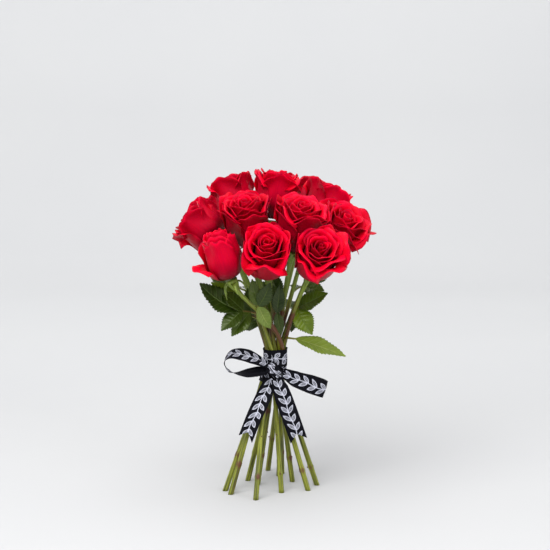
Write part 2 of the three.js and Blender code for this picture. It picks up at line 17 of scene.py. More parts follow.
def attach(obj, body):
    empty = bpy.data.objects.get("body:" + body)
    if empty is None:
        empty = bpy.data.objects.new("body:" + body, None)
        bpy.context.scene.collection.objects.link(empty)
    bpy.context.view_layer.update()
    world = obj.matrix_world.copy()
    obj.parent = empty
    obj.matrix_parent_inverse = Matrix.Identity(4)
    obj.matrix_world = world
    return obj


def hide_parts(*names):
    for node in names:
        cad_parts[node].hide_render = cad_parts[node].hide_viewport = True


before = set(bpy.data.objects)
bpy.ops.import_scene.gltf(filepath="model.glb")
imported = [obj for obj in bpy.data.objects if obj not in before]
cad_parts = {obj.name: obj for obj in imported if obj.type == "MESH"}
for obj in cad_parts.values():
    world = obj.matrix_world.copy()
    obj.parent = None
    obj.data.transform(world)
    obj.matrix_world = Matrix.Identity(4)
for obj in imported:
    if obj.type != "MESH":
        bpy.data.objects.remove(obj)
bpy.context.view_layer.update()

# %% [markdown]
# ## Working in millimetres
# A florist thinks in millimetres, so the shapes below are worked out in millimetres from the middle of the
# binding. One helper turns such a point into metres in the bunch's frame, and the rest are the small tools
# of the trade: blending two values, easing from one to the other, going round a circle, and reading a
# table. The noise is seeded here, so that each run gives the same bunch.

# %% Small tools
BUNCH_AT = Vector((-1.7, -11.8, 0))
UP = Vector((0, 0, 1))
NOISE_SEED = 7
noise.seed_set(NOISE_SEED)  # without a seed, vector noise takes its offsets from the clock


def metres(point):
    return (point + BUNCH_AT) * 0.001


def mix(low, high, share):
    return low + (high - low) * share


def smooth(low, high, x):
    t = min(max((x - low) / (high - low), 0), 1)
    return t * t * (3 - 2 * t)


def polar(radius, degrees, z):
    turn = math.radians(degrees)
    return Vector((radius * math.cos(turn), radius * math.sin(turn), z))


def only(kind, items):
    return [item for item in items if isinstance(item, kind)]


def rows(names, *table):
    """The rows of a table, each as a dict under the names. A row may leave out its last values."""
    return [dict(zip(names.split(), row)) for row in table]


print("the middle of the binding, in metres:", [round(c, 4) for c in metres(Vector())])

# %% [markdown]
# ## Where each rose is
# A rose is given by the tip of its heart, the way it looks, where its cut end stands and where its stem
# goes through the binding. Its size, how far it has opened and its turn about its own axis make it an
# individual. Keeping these in one table means that stems, sepals and petals always agree. The closed bud at
# the front has extras: which outer petal falls open, how much shorter a petal may be, and how far its rims
# turn out.

# %% The roses
BLOOM_DEPTH = 54
BLOOM_WAIST = 0.42
NEIGHBOUR = 85
ROSES = rows(
    "heart faces foot bind size open turn",
    ((-4.5, -78, 283.5), (0.03, -0.77, 0.63), (11.4, 43.7), (8.9, 1), 1.1, 0.8, 36),
    ((52, -76, 279), (0.18, -0.77, 0.6), (-4.5, 56.5), (11, 6), 1.05, 0.9, 75),
    ((-61, -53, 291), (-0.32, -0.1, 0.94), (7.8, 34.4), (12.5, -3.3), 1.06, -0.05, 30),
    ((-94, -6, 300), (-0.78, 0.12, 0.6), (49.5, -2), (4.3, -9.2), 1.0, 0.65, 38),
    ((-77, 76, 302), (-0.5, 0.5, 0.7), (39.4, -22.6), (-1.1, -7.5), 0.98, 0.6, 86),
    ((-29, -33, 321), (-0.08, -0.42, 0.9), (22.7, 11.3), (5.4, -3.9), 1.09, 0.85, 50),
    ((34, -38, 318), (0.2, -0.34, 0.92), (-15.7, -0.2), (4.2, 3.8), 1.1, 0.95, 58),
    ((-48, 38, 336), (-0.3, 0.3, 0.9), (-17, -57.1), (-5.1, -1.6), 0.98, 0.6, 15),
    ((8, 22, 346), (0.12, 0.1, 0.98), (10.5, -30.8), (1, -0.6), 1.03, 0.85, 36),
    ((46, 100, 321), (0.22, 0.55, 0.8), (-44.3, -37.3), (-4.1, 4), 0.98, 0.5, 25),
    ((67, 46, 327), (0.42, 0.25, 0.87), (-50.6, -23.4), (0, 8.2), 1.0, 0.7, 50),
    ((83, -17, 303), (0.44, -0.45, 0.77), (-26.6, 15.2), (6.3, 8.8), 1.15, 0.9, 35),
)
ROSES[2].update(flap=2, ragged=0.13, lip=17)
for number, rose in enumerate(ROSES, 1):
    axis = Vector(rose["faces"]).normalized()
    depth = BLOOM_DEPTH * rose["size"]
    rose["number"] = number
    rose["axis"] = axis
    rose["seat"] = Vector(rose["heart"]) - axis * depth
    rose["middle"] = Vector(rose["heart"]) - axis * depth * BLOOM_WAIST
    rose["turned"] = UP.rotation_difference(axis) @ Quaternion(UP, math.radians(rose["turn"]))
for rose in ROSES:
    rose["near"] = []
    for other in ROSES:
        apart = (other["middle"] - rose["middle"]).length
        if other is not rose and apart < NEIGHBOUR:
            toward = (other["middle"] - rose["middle"]) / apart
            rose["near"].append((toward, apart * rose["size"] / (rose["size"] + other["size"])))
print("neighbours of each bloom:", [len(rose["near"]) for rose in ROSES])

# %% [markdown]
# ## Blooms that press on each other
# Packed heads don't pass through one another: each flattens against its neighbours. Halfway between two
# blooms lies a plane, and a point that nears that plane is held back more and more, so that it never
# reaches it. The hold is soft, so a petal bends there instead of being cut off.

# %% Place a point of a bloom, and press it
PRESS_SOFT = 5.5
PRESS_TIMES = 3
PETAL_CLEAR = 0.5


def placed(rose, point):
    return rose["turned"] @ (point * rose["size"]) + rose["seat"]


def pressed(rose, point, margin):
    limit = PRESS_SOFT - PETAL_CLEAR - margin
    for _ in range(PRESS_TIMES):
        for toward, plane in rose["near"]:
            into = (point - rose["middle"]).dot(toward) - plane + PRESS_SOFT
            if into > 0:
                point = point + toward * (limit * (1 - math.exp(-into / limit)) - into)
    return point


print("heart of the first rose:", [round(c, 1) for c in placed(ROSES[0], Vector((0, 0, BLOOM_DEPTH)))])

# %% [markdown]
# ## Petals, from the outside in
# A rose opens in rounds. The outer petals are broad, stand out and roll back at the rim. The next ones cup
# upwards, and the inner ones wrap round each other into a tight spiral. A table gives each round: how many
# petals, where they are rooted, how long and wide they are, how far they lap over the next one, how soon
# they cup upwards, and their lean and roll when the rose is closed and when it is fully open.

# %% The rounds of petals
ROUNDS = rows(
    "petals first height root length half lap cup lean roll crimp point rolled_from",
    (5, 18, 1.6, 3.6, 60, 50, 1.3, 0.52, (-10, 1), (0, 96), 1.5, 0.6, 0.74),
    (4, 54, 4.6, 3.4, 56, 64, 1.2, 0.47, (-9, -1), (-4, 84), 1.4, 0.4, 0.78),
    (3, 20, 8.5, 3.2, 51, 84, 1.1, 0.43, (-8, -2), (-5, 74), 1.2, 0.3, 0.8),
    (3, 78, 11, 3, 47, 84, 1.0, 0.38, (-8, -3), (-8, 62), 1.0, 0.2, 0.82),
    (3, 35, 13.5, 2.6, 43, 88, 0.9, 0.32, (-7, -4), (-8, 46), 0.7, 0.1, 0.84),
    (2, 95, 15.5, 2, 39.5, 125, 0.9, 0.24, (-7, -4), (-8, 30), 0.5, 0, 0.86),
    (2, 10, 17, 1.3, 36.5, 160, 0.9, 0.15, (-5, -3), (-4, 16), 0.3, 0, 0.88),
)
FLAP_LEAN, FLAP_ROLL, FLAP_LENGTH = 44, 60, 0.74
PETAL_BASE = 78
SHOULDER = 0.16
CLAW = 0.5
RIM_NOISE = 0.022
WAVE_SPAN, WAVE_HEIGHT = 15, 0.9
PETAL_CELLS = (14, 18)
WALK_STEPS = 3
print("petals in a rose:", sum(layer["petals"] for layer in ROUNDS))

# %% [markdown]
# ## One petal
# A petal starts as a flat grid, as leaflets and ribbons will, so one helper lays them all. Each column of
# the grid is walked from root to rim: the petal leaves the core almost level, cups upwards, then rolls back
# near its rim, more at its sides than at its tip. That is what gives a rose petal its point. A little
# chance in each petal's length, lean and roll keeps them from matching.

# %% Grow one petal
def faces_of(verts):
    """The faces that use these vertices, each once and in the same order at every run."""
    return list(dict.fromkeys(face for vert in verts for face in vert.link_faces))


def lay_grid(bm, cells, point_at, tone=None, uv_at=lambda u, v: ((u + 1) / 2, v)):
    """A grid laid by point_at(u, v), with u from -1 to 1 across it and v from 0 to 1 along it."""
    uv = bm.loops.layers.uv.verify()
    made = bmesh.ops.create_grid(bm, x_segments=cells[0], y_segments=cells[1], size=1)["verts"]
    for vert in made:
        u, v = vert.co.x, (vert.co.y + 1) / 2
        vert.co = metres(point_at(u, v))
        if tone is not None:
            vert[bm.verts.layers.float["tone"]] = tone
        for loop in vert.link_loops:
            loop[uv].uv = uv_at(u, v)
    return faces_of(made)


def petal_columns(layer, chance):
    """For each column, the (share, radius, height) of every row from root to rim."""
    across, along = PETAL_CELLS
    lean = mix(*layer["lean"], chance["opened"]) + chance["lean"]
    roll = mix(*layer["roll"], chance["opened"]) * chance["roll"] + chance["lip"]
    if chance["flaps"]:
        lean, roll = lean + FLAP_LEAN, FLAP_ROLL
    length = layer["length"] * (FLAP_LENGTH if chance["flaps"] else 1)
    columns = []
    for i in range(across + 1):
        u = 2 * i / across - 1
        rim = (1 - SHOULDER * abs(u) ** 3.2) * chance["length"]
        rim *= 1 + RIM_NOISE * noise.noise(Vector((u * 2.2, chance["seed"], 0)))
        rolled = roll * (0.72 + layer["point"] * abs(u - chance["tip"]) ** 1.4)
        rolled_from = layer["rolled_from"] - 0.08 * abs(u)
        radius, height = layer["root"], layer["height"]
        column = [(0, radius, height)]
        for j in range(along):
            for k in range(WALK_STEPS):
                v = (j + (k + 0.5) / WALK_STEPS) / along
                angle = mix(PETAL_BASE, lean, smooth(0, layer["cup"], v * rim))
                angle = math.radians(angle + rolled * smooth(rolled_from, 1, v))
                step = rim * length / along / WALK_STEPS
                radius += math.sin(angle) * step
                height += math.cos(angle) * step
            column.append(((j + 1) / along * rim, radius, height))
        columns.append(column)
    return columns


def grow_petal(bm, rose, layer, azimuth, chance, tone):
    across, along = PETAL_CELLS
    columns = petal_columns(layer, chance)

    def point_at(u, v):
        share, radius, height = columns[round((u + 1) / 2 * across)][round(v * along)]
        width = mix(CLAW, 1, smooth(0, 0.45, share)) - 0.2 * smooth(0.6, 1, share)
        turn = azimuth + layer["half"] * width * u
        edge = smooth(0.55, 1, v)
        radius += layer["crimp"] * edge * math.sin(5.2 * u + chance["seed"] * 9)
        height += 0.7 * layer["crimp"] * edge * math.sin(8.3 * u + chance["seed"] * 5)
        point = pressed(rose, placed(rose, polar(radius, turn, height)), layer["lap"])
        outward = rose["turned"] @ polar(1, turn, 0)
        point = point + outward * layer["lap"] * u * smooth(0, 0.3, share)
        return point + noise.noise_vector(point / WAVE_SPAN) * WAVE_HEIGHT * smooth(0.15, 1, share)

    lay_grid(bm, PETAL_CELLS, point_at, tone)


print("cells in a petal:", PETAL_CELLS[0] * PETAL_CELLS[1])

# %% [markdown]
# ## Finishes from nodes
# Every finish is mixed from procedural nodes, so it needs no picture files. These helpers add a node, wire
# its inputs and hand back its output. With them, a finish reads as a short recipe. A number that is the
# same all over is set on its socket.

# %% Helpers for finishes
def new_finish(name):
    material = bpy.data.materials.new(name)
    material.use_nodes = True
    tree = material.node_tree
    return material, tree, tree.nodes["Principled BSDF"]


def wire(tree, socket, value):
    if isinstance(value, bpy.types.NodeSocket):
        tree.links.new(value, socket)
    elif isinstance(value, tuple) and len(value) == 3 and socket.type == "RGBA":
        socket.default_value = (*value, 1)
    else:
        socket.default_value = value


def wire_all(tree, node, inputs):
    for key, value in inputs.items():
        wire(tree, node.inputs[key], value)


def add_node(tree, kind, inputs, output=0, **settings):
    node = tree.nodes.new(kind)
    for key, value in settings.items():
        setattr(node, key, value)
    wire_all(tree, node, inputs)
    return node.outputs[output]


def sums(tree, operation, *values):
    return add_node(tree, "ShaderNodeMath", dict(enumerate(values)), operation=operation)


def arithmetic(tree):
    """The three commonest sums of a finish, as short functions."""
    return [partial(sums, tree, operation) for operation in ("ADD", "SUBTRACT", "MULTIPLY")]


def coordinates(tree, which):
    return add_node(tree, "ShaderNodeTexCoord", {}, output=which)


def attribute(tree, name, output):
    return add_node(tree, "ShaderNodeAttribute", {}, output=output, attribute_name=name)


def parts_of(tree, vector):
    node = tree.nodes.new("ShaderNodeSeparateXYZ")
    wire(tree, node.inputs[0], vector)
    return node.outputs


def soft_noise(tree, vector, scale, detail):
    return add_node(tree, "ShaderNodeTexNoise", {"Vector": vector, "Scale": scale, "Detail": detail})


def stretched(tree, source, scale):
    return add_node(tree, "ShaderNodeMapping", {"Vector": source, "Scale": scale})


def blend_colours(tree, share, first, second, how="MIX"):
    inputs = {0: share, 6: first, 7: second}
    return add_node(tree, "ShaderNodeMix", inputs, output=2, data_type="RGBA", blend_type=how)


def ramp(tree, share, stops):
    node = tree.nodes.new("ShaderNodeValToRGB")
    wire(tree, node.inputs[0], share)
    while len(node.color_ramp.elements) < len(stops):
        node.color_ramp.elements.new(0.5)
    for element, (place, colour) in zip(node.color_ramp.elements, stops):
        element.position = place
        element.color = (*colour, 1)
    return node.outputs[0]


def set_bump(tree, shader, height, strength, distance):
    inputs = {"Height": height, "Strength": strength, "Distance": distance}
    wire(tree, shader.inputs["Normal"], add_node(tree, "ShaderNodeBump", inputs))


print("materials before the first finish:", len(bpy.data.materials))

# %% [markdown]
# ## Red velvet
# A red petal is clear red across its blade. Towards its root, deep in the bloom, it turns dark crimson: that
# is painted shade. Its rim is a touch pinker, a painted highlight where the light catches it. Here and there
# the very edge has begun to darken. Fine veins run from root to rim. They are stretched noise in the petal's
# own
# UV map, so that they follow each petal. A soft sheen and a little light passing through make it look alive.

# %% The petal finish
def petal_finish(name, deep, clear, rim, sheen):
    material, tree, shader = new_finish(name)
    add, less, times = arithmetic(tree)
    uv = coordinates(tree, "UV")
    along = parts_of(tree, uv)[1]
    cloud = soft_noise(tree, coordinates(tree, "Object"), 75.0, 3.0)
    veins = soft_noise(tree, stretched(tree, uv, (46, 2.4, 1)), 1.0, 4.0)
    patched = add(along, times(less(cloud, 0.5), 0.3))
    # Painted shade towards the root, deep in the bloom, and a painted highlight on the rim.
    colour = ramp(tree, patched, [(0.2, deep), (0.66, clear), (0.93, clear), (1.0, rim)])
    shade = ramp(tree, veins, [(0.3, (0.78, 0.74, 0.76)), (0.62, (1, 1, 1))])
    colour = blend_colours(tree, 0.7, colour, shade, "MULTIPLY")
    dusk = ramp(tree, attribute(tree, "tone", "Fac"), [(0.0, (0.55, 0.4, 0.5)), (1.0, (1, 1, 1))])
    colour = blend_colours(tree, 1.0, colour, dusk, "MULTIPLY")
    edge = ramp(tree, along, [(0.965, (0, 0, 0)), (0.995, (1, 1, 1))])
    patchy = ramp(tree, cloud, [(0.48, (0, 0, 0)), (0.6, (0.7, 0.7, 0.7))])
    wire_all(tree, shader, {
        "Base Color": blend_colours(tree, times(edge, patchy), colour, (0.16, 0.0, 0.012)),
        "Roughness": sums(tree, "MULTIPLY_ADD", cloud, 0.2, 0.33),
        "Specular IOR Level": 0.26,
        "Specular Tint": (1, 0.12, 0.22),
        "Sheen Weight": sheen,
        "Sheen Roughness": 0.4,
        "Sheen Tint": (1, 0.32, 0.42),
        "Subsurface Weight": 0.12,
        "Subsurface Radius": (1, 0.12, 0.12),
        "Subsurface Scale": 0.003,
    })
    set_bump(tree, shader, add(veins, times(cloud, 0.8)), 0.35, 0.0006)
    return material


# The outside is a darker copy of the inside finish: painted shade on the outer faces.
PETAL_INSIDE = petal_finish("petal_inside", (0.07, 0.0, 0.004), (0.88, 0.0, 0.02), (0.95, 0.0, 0.035), 0.01)
PETAL_OUTSIDE = petal_finish("petal_outside", (0.18, 0.0, 0.01), (0.56, 0.0, 0.02), (0.84, 0.0, 0.03), 0.02)
print("nodes in a petal finish:", len(PETAL_INSIDE.node_tree.nodes))

# %% [markdown]
# ## Twelve blooms
# All the petals of a rose are one object, because they hold together at the core. The grid is a sheet
# without thickness, and a Solidify modifier gives it the thickness of a petal and puts its other face in
# the second finish. The object stays at the origin, so its pattern is laid in the bunch's own frame.

# %% Build the blooms
PETAL_THICK = 0.00045
BLOOM_SEED = 100


def to_object(bm, name, materials):
    # An extrude adds its walls in an order that varies, so the faces are put in order by their place.
    for n, face in enumerate(sorted(bm.faces, key=lambda face: tuple(face.calc_center_median()))):
        face.index = n
    bm.faces.sort()
    mesh = bpy.data.meshes.new(name)
    bm.to_mesh(mesh)
    bm.free()
    for material in materials:
        mesh.materials.append(material)
    for polygon in mesh.polygons:
        polygon.use_smooth = True
    made = bpy.data.objects.new(name, mesh)
    bpy.context.scene.collection.objects.link(made)
    return made


def finish_piece(bm, name, materials, node):
    piece = to_object(bm, name, materials)
    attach(piece, "root")
    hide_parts(node)
    return piece


def add_wall(piece, name, thickness):
    """Give a sheet its thickness, with one side of it in the second finish."""
    wall = piece.modifiers.new(name, "SOLIDIFY")
    wall.thickness, wall.offset, wall.material_offset = thickness, 0, 1


def petal_chance(rose, dice):
    return {
        "opened": min(max(rose["open"] + dice.uniform(-0.08, 0.08), -0.3), 1),
        "lean": dice.uniform(-2, 2.5),
        "roll": dice.uniform(0.7, 1.15),
        "length": dice.uniform(0.965 - rose.get("ragged", 0), 1.015),
        "lip": rose.get("lip", 0),
        "tip": dice.uniform(-0.2, 0.2),
        "seed": dice.uniform(0, 40),
    }


for rose in ROSES:
    dice = random.Random(BLOOM_SEED + rose["number"])
    bm = bmesh.new()
    bm.verts.layers.float.new("tone")
    for layer in ROUNDS:
        for k in range(layer["petals"]):
            azimuth = layer["first"] + 360 * k / layer["petals"] + dice.uniform(-7, 7)
            chance = petal_chance(rose, dice)
            chance["flaps"] = layer is ROUNDS[0] and rose.get("flap") == k
            grow_petal(bm, rose, layer, azimuth, chance, dice.uniform(0, 1))
    node = f"bloom_{rose['number']:02d}"
    piece = finish_piece(bm, f"{node}_petals", [PETAL_OUTSIDE, PETAL_INSIDE], node)
    add_wall(piece, "petal_wall", PETAL_THICK)
print("faces in a bloom:", len(piece.data.polygons))

# %% [markdown]
# ## The way a stem runs
# Below and through the binding a stem is straight. Above it the stem bends outwards until it looks the way
# its bloom does. The bend is a cubic Bezier curve whose first handle carries the straight line on and whose
# last handle lies along the bloom's axis. The curve is walked in short, even steps.

# %% Stem paths
WAIST_Z = 140
NECK = 30
GAP = 0.3
REACH = 0.42
BEND_STEPS = 60
WAIST_STEM = 2.35
FOOT_STEM = 2.9
STEP = 2.5


def bezier(a, b, c, d, t):
    s = 1 - t
    return a * s ** 3 + b * 3 * s * s * t + c * 3 * s * t * t + d * t ** 3


def even_steps(points, step):
    """The same line with its points an even step apart, and how far along each one is."""
    lengths = [0]
    for a, b in zip(points, points[1:]):
        lengths.append(lengths[-1] + (b - a).length)
    count = max(2, round(lengths[-1] / step))
    walked, n = [], 0
    for k in range(count + 1):
        target = lengths[-1] * k / count
        while n < len(points) - 2 and lengths[n + 1] < target:
            n += 1
        span = max(lengths[n + 1] - lengths[n], 1e-9)
        walked.append((points[n].lerp(points[n + 1], (target - lengths[n]) / span), target))
    return walked


def stem_path(rose):
    foot, slot = Vector((*rose["foot"], 0)), Vector((*rose["bind"], WAIST_Z))
    end = rose["seat"] - rose["axis"] * GAP
    reach = (end - slot).length * REACH
    rise = slot + (slot - foot).normalized() * reach
    neck = end - rose["axis"] * NECK
    return [foot] + [bezier(slot, rise, neck, end, k / BEND_STEPS) for k in range(BEND_STEPS + 1)]


for rose in ROSES:
    rose["path"] = stem_path(rose)
print("longest stem, mm:", round(max(even_steps(rose["path"], STEP)[-1][1] for rose in ROSES)))

# %% [markdown]
# ## Growing a stalk
# A stalk starts as a circle. Its edge is extruded again and again, and each new ring is carried to the next
# station of the path by a transform that also sets its thickness. The ends are filled, so the stalk is
# closed.

# %% Grow a stalk along its stations
def stalk_mesh():
    bm = bmesh.new()
    bm.verts.layers.float.new("tone")
    bm.verts.layers.float_vector.new("grain")
    return bm


def stalk_frame(at, along, radius, aside):
    first = (aside - along * aside.dot(along)).normalized()
    second = along.cross(first)
    turn = Matrix((first, second, along)).transposed().to_4x4()
    return Matrix.Translation(metres(at)) @ turn @ Matrix.Scale(radius * 0.001, 4)


def grow_stalk(bm, stations, sides, tone_at, material=0, level_foot=False):
    """stations are (middle, direction, radius), and tone_at gives a ring's tone from its middle.

    The grain layer holds where a vertex is round the stalk, as a cosine and a sine, and how far along in cm.
    """
    middle = stations[len(stations) // 2][1]
    aside = min((Vector((1, 0, 0)), Vector((0, 1, 0)), UP), key=lambda axis: abs(axis.dot(middle)))
    frames = [stalk_frame(*station, aside) for station in stations]
    foot, rising, _ = stations[0]
    ring = bmesh.ops.create_circle(bm, segments=sides, radius=1, cap_ends=True, matrix=frames[0])["verts"]
    faces = faces_of(ring)
    edges = list(dict.fromkeys(edge for vert in ring for edge in vert.link_edges))
    if level_foot:
        for vert in ring:
            vert.co += rising * ((metres(foot).z - vert.co.z) / rising.z)
    rings = [ring]
    for n, (previous, frame_at) in enumerate(zip(frames, frames[1:])):
        made = bmesh.ops.extrude_edge_only(bm, edges=edges)["geom"]
        ring = only(BMVert, made)
        if n == 0 and level_foot:
            for vert in ring:
                vert.co -= rising * ((vert.co - metres(foot)).dot(rising))
        bmesh.ops.transform(bm, matrix=frame_at @ previous.inverted(), verts=ring)
        edges = [edge for edge in only(BMEdge, made) if all(vert in ring for vert in edge.verts)]
        faces.extend(only(BMFace, made))
        rings.append(ring)
    tones = bm.verts.layers.float["tone"]
    grains = bm.verts.layers.float_vector["grain"]
    start, far = foot.x, 0
    for n, (station, frame_at) in enumerate(zip(stations, frames)):
        far += (station[0] - stations[max(n - 1, 0)][0]).length * 0.1
        for vert in rings[n]:
            local = frame_at.inverted() @ vert.co
            vert[tones] = tone_at(station[0])
            vert[grains] = (local.x + start, local.y, far)
    faces.extend(bmesh.ops.contextual_create(bm, geom=edges)["faces"])
    for face in faces:
        face.material_index = material
    bmesh.ops.recalc_face_normals(bm, faces=faces)


def stations_along(points, step, radius_at):
    walked = even_steps(points, step)
    stations = []
    for n, (at, far) in enumerate(walked):
        before, after = walked[max(n - 1, 0)][0], walked[min(n + 1, len(walked) - 1)][0]
        stations.append((at, (after - before).normalized(), radius_at(far, walked[-1][1], at)))
    return stations


print("rings in the first stem:", len(even_steps(ROSES[0]["path"], STEP)))

# %% [markdown]
# ## Bark, pith and leaf green
# A florist's stem is green with reddish brown flushes, and lighter where it is young near the bloom. The
# finish mixes greens and a brown by soft noise drawn out along the stem. The cut end is pale pith.

# %% Stem finishes
def bark_finish():
    material, tree, shader = new_finish("stem_bark")
    add, _, times = arithmetic(tree)
    place, grain = coordinates(tree, "Object"), attribute(tree, "grain", "Vector")
    patches = soft_noise(tree, stretched(tree, grain, (0.9, 0.9, 0.35)), 1.0, 4.0)
    streaks = soft_noise(tree, stretched(tree, grain, (1.7, 1.7, 0.3)), 1.0, 3.0)
    specks = soft_noise(tree, place, 900.0, 2.0)
    greens = [(0.32, (0.04, 0.05, 0.003)), (0.5, (0.15, 0.165, 0.01)), (0.68, (0.3, 0.32, 0.03))]
    young = ramp(tree, parts_of(tree, place)[2], [(0.19, (0, 0, 0)), (0.25, (1, 1, 1))])
    colour = blend_colours(tree, young, ramp(tree, streaks, greens), (0.2, 0.31, 0.04))
    flushed = add(patches, times(attribute(tree, "tone", "Fac"), 0.4))
    flushed = ramp(tree, flushed, [(0.6, (0, 0, 0)), (0.82, (1, 1, 1))])
    colour = blend_colours(tree, flushed, colour, (0.1, 0.032, 0.009))
    speckled = ramp(tree, specks, [(0.35, (0.5, 0.5, 0.4)), (0.6, (1, 1, 1))])
    colour = blend_colours(tree, 0.35, colour, speckled, "MULTIPLY")
    wire_all(tree, shader, {"Base Color": colour, "Roughness": 0.45, "Specular IOR Level": 0.4})
    set_bump(tree, shader, streaks, 0.3, 0.0005)
    return material


def mottled_finish(name, scale, detail, low, high, rough, bump):
    material, tree, shader = new_finish(name)
    mottle = soft_noise(tree, coordinates(tree, "Object"), scale, detail)
    colour = ramp(tree, mottle, [(0.3, low), (0.7, high)])
    wire_all(tree, shader, {"Base Color": colour, "Roughness": rough})
    set_bump(tree, shader, mottle, bump, 0.0004)
    return material


STEM_BARK = bark_finish()
STEM_PITH = mottled_finish("stem_cut_end", 1400.0, 3.0, (0.1, 0.08, 0.02), (0.3, 0.27, 0.1), 0.7, 0.4)
SEPAL_GREEN = mottled_finish("sepal_green", 260.0, 4.0, (0.08, 0.13, 0.01), (0.2, 0.28, 0.03), 0.5, 0.3)
print("nodes in the bark:", len(STEM_BARK.node_tree.nodes))

# %% [markdown]
# ## Stems with their sepals
# A stem swells at its joints, where leaves once grew, and carries a few blunt prickles. At its top it
# widens into the receptacle that the petals stand on, and five slim sepals fold back from it.

# %% Build the stems
SEAT_RADIUS = 6.2
HEAD_STATIONS = [(0, 6.2), (5, 5.4), (9, 3.9), (13, 2.5)]
HEAD_DEPTH, HEAD_BLEND = 13, 22
STEM_SIDES = 14
STEM_SEED = 300
SEPALS = 5
SEPAL_STEPS = 10
SEPAL_THICK = 0.0005
PRICKLE_TONE = 1.4


def head_radius(left, size):
    radius = HEAD_STATIONS[-1][1]
    for (near, wide), (far, slim) in zip(HEAD_STATIONS, HEAD_STATIONS[1:]):
        if near <= left / size <= far:
            radius = mix(wide, slim, smooth(near, far, left / size))
    return radius * size


def stem_radius(rose, joints):
    def radius_at(far, length, at):
        left = length - far
        if left < HEAD_DEPTH * rose["size"]:
            return head_radius(left, rose["size"])
        stalk = mix(FOOT_STEM, WAIST_STEM, min(at.z / WAIST_Z, 1))
        swell = sum(math.exp(-(((at.z - joint) / 2.6) ** 2)) for joint in joints)
        blend = smooth(HEAD_BLEND * rose["size"], HEAD_DEPTH * rose["size"], left)
        return mix(stalk * (1 + 0.16 * swell), HEAD_STATIONS[-1][1] * rose["size"], blend)

    return radius_at


def thicken(bm, faces, thickness):
    """Give a sheet of faces a second side, and a wall round its edge."""
    made = bmesh.ops.extrude_face_region(bm, geom=faces, use_keep_orig=True)["geom"]
    bm.normal_update()
    for vert in only(BMVert, made):
        vert.co += vert.normal * thickness
    bmesh.ops.reverse_faces(bm, faces=faces)
    bm.normal_update()


def grow_sepal(bm, rose, k, dice):
    """A narrow blade along an arched line, from under the petals out and down."""
    azimuth = 360 * k / SEPALS + 36
    a = placed(rose, polar(SEAT_RADIUS * 0.62, azimuth, -3.4))
    b = placed(rose, polar(SEAT_RADIUS + 5, azimuth, -3))
    reach, aside = SEAT_RADIUS + 5 + 2 * (k % 2), dice.uniform(-12, 12)
    c = placed(rose, polar(reach, azimuth + aside, -14 - 2 * (k % 3)))
    shares = [j / SEPAL_STEPS for j in range(SEPAL_STEPS + 1)]
    middles = [a * (1 - t) ** 2 + b * 2 * t * (1 - t) + c * t * t for t in shares]
    across = rose["turned"] @ polar(1, azimuth + 90, 0)

    def point_at(u, v):
        j = round(v * SEPAL_STEPS)
        before, after = middles[max(j - 1, 0)], middles[min(j + 1, SEPAL_STEPS)]
        half = 2.9 * (1 - shares[j] ** 1.5) * (0.75 + 0.25 * math.sin(math.pi * j / SEPAL_STEPS)) + 0.16
        normal = (after - before).cross(across).normalized()
        return middles[j] + across * half * u + normal * half * 0.25 * u * u

    faces = lay_grid(bm, (4, SEPAL_STEPS), point_at, 0.5)
    for face in faces:
        face.material_index = 2
    return faces


def grow_prickle(bm, at, outward, along, long):
    turn = outward.lerp(-along, 0.3).normalized().to_track_quat("Z", "Y").to_matrix().to_4x4()
    place = Matrix.Translation(metres(at + outward * long * 0.42)) @ turn
    made = bmesh.ops.create_cone(bm, cap_ends=True, segments=7, radius1=0.0011, radius2=0.0001,
                                 depth=long * 0.001, matrix=place)["verts"]
    for vert in made:
        vert[bm.verts.layers.float["tone"]] = PRICKLE_TONE


for rose in ROSES:
    dice = random.Random(STEM_SEED + rose["number"])
    joints = [dice.uniform(18, 42), dice.uniform(74, 104), dice.uniform(176, 200)]
    blush = dice.choice((0.3, 0.7, 1))
    young, flush_at = dice.uniform(-0.25, 0.1), dice.uniform(150, 185)
    bm = stalk_mesh()
    stations = stations_along(rose["path"], STEP, stem_radius(rose, joints))

    def flush(at):
        near_joint = max(math.exp(-(((at.z - joint) / 3.6) ** 2)) for joint in joints)
        return young + 1.0 * near_joint * blush + 0.85 * math.exp(-(((at.z - flush_at) / 22) ** 2)) * blush

    grow_stalk(bm, stations, STEM_SIDES, flush, level_foot=True)
    for face in bm.faces:
        if face.calc_center_median().z < 1e-5:
            face.material_index = 1
    for joint in joints[:2] + [dice.uniform(46, 66)]:
        at, along, radius = min(stations, key=lambda station: abs(station[0].z - joint))
        outward = along.cross(polar(1, dice.uniform(0, 360), 0)).normalized()
        grow_prickle(bm, at + outward * radius * 0.8, outward, along, dice.uniform(1.6, 2.6))
    thicken(bm, [face for k in range(SEPALS) for face in grow_sepal(bm, rose, k, dice)], SEPAL_THICK)
    node = f"stem_{rose['number']:02d}"
    finish_piece(bm, f"{node}_bark", [STEM_BARK, STEM_PITH, SEPAL_GREEN], node)
print("stems:", len(ROSES))
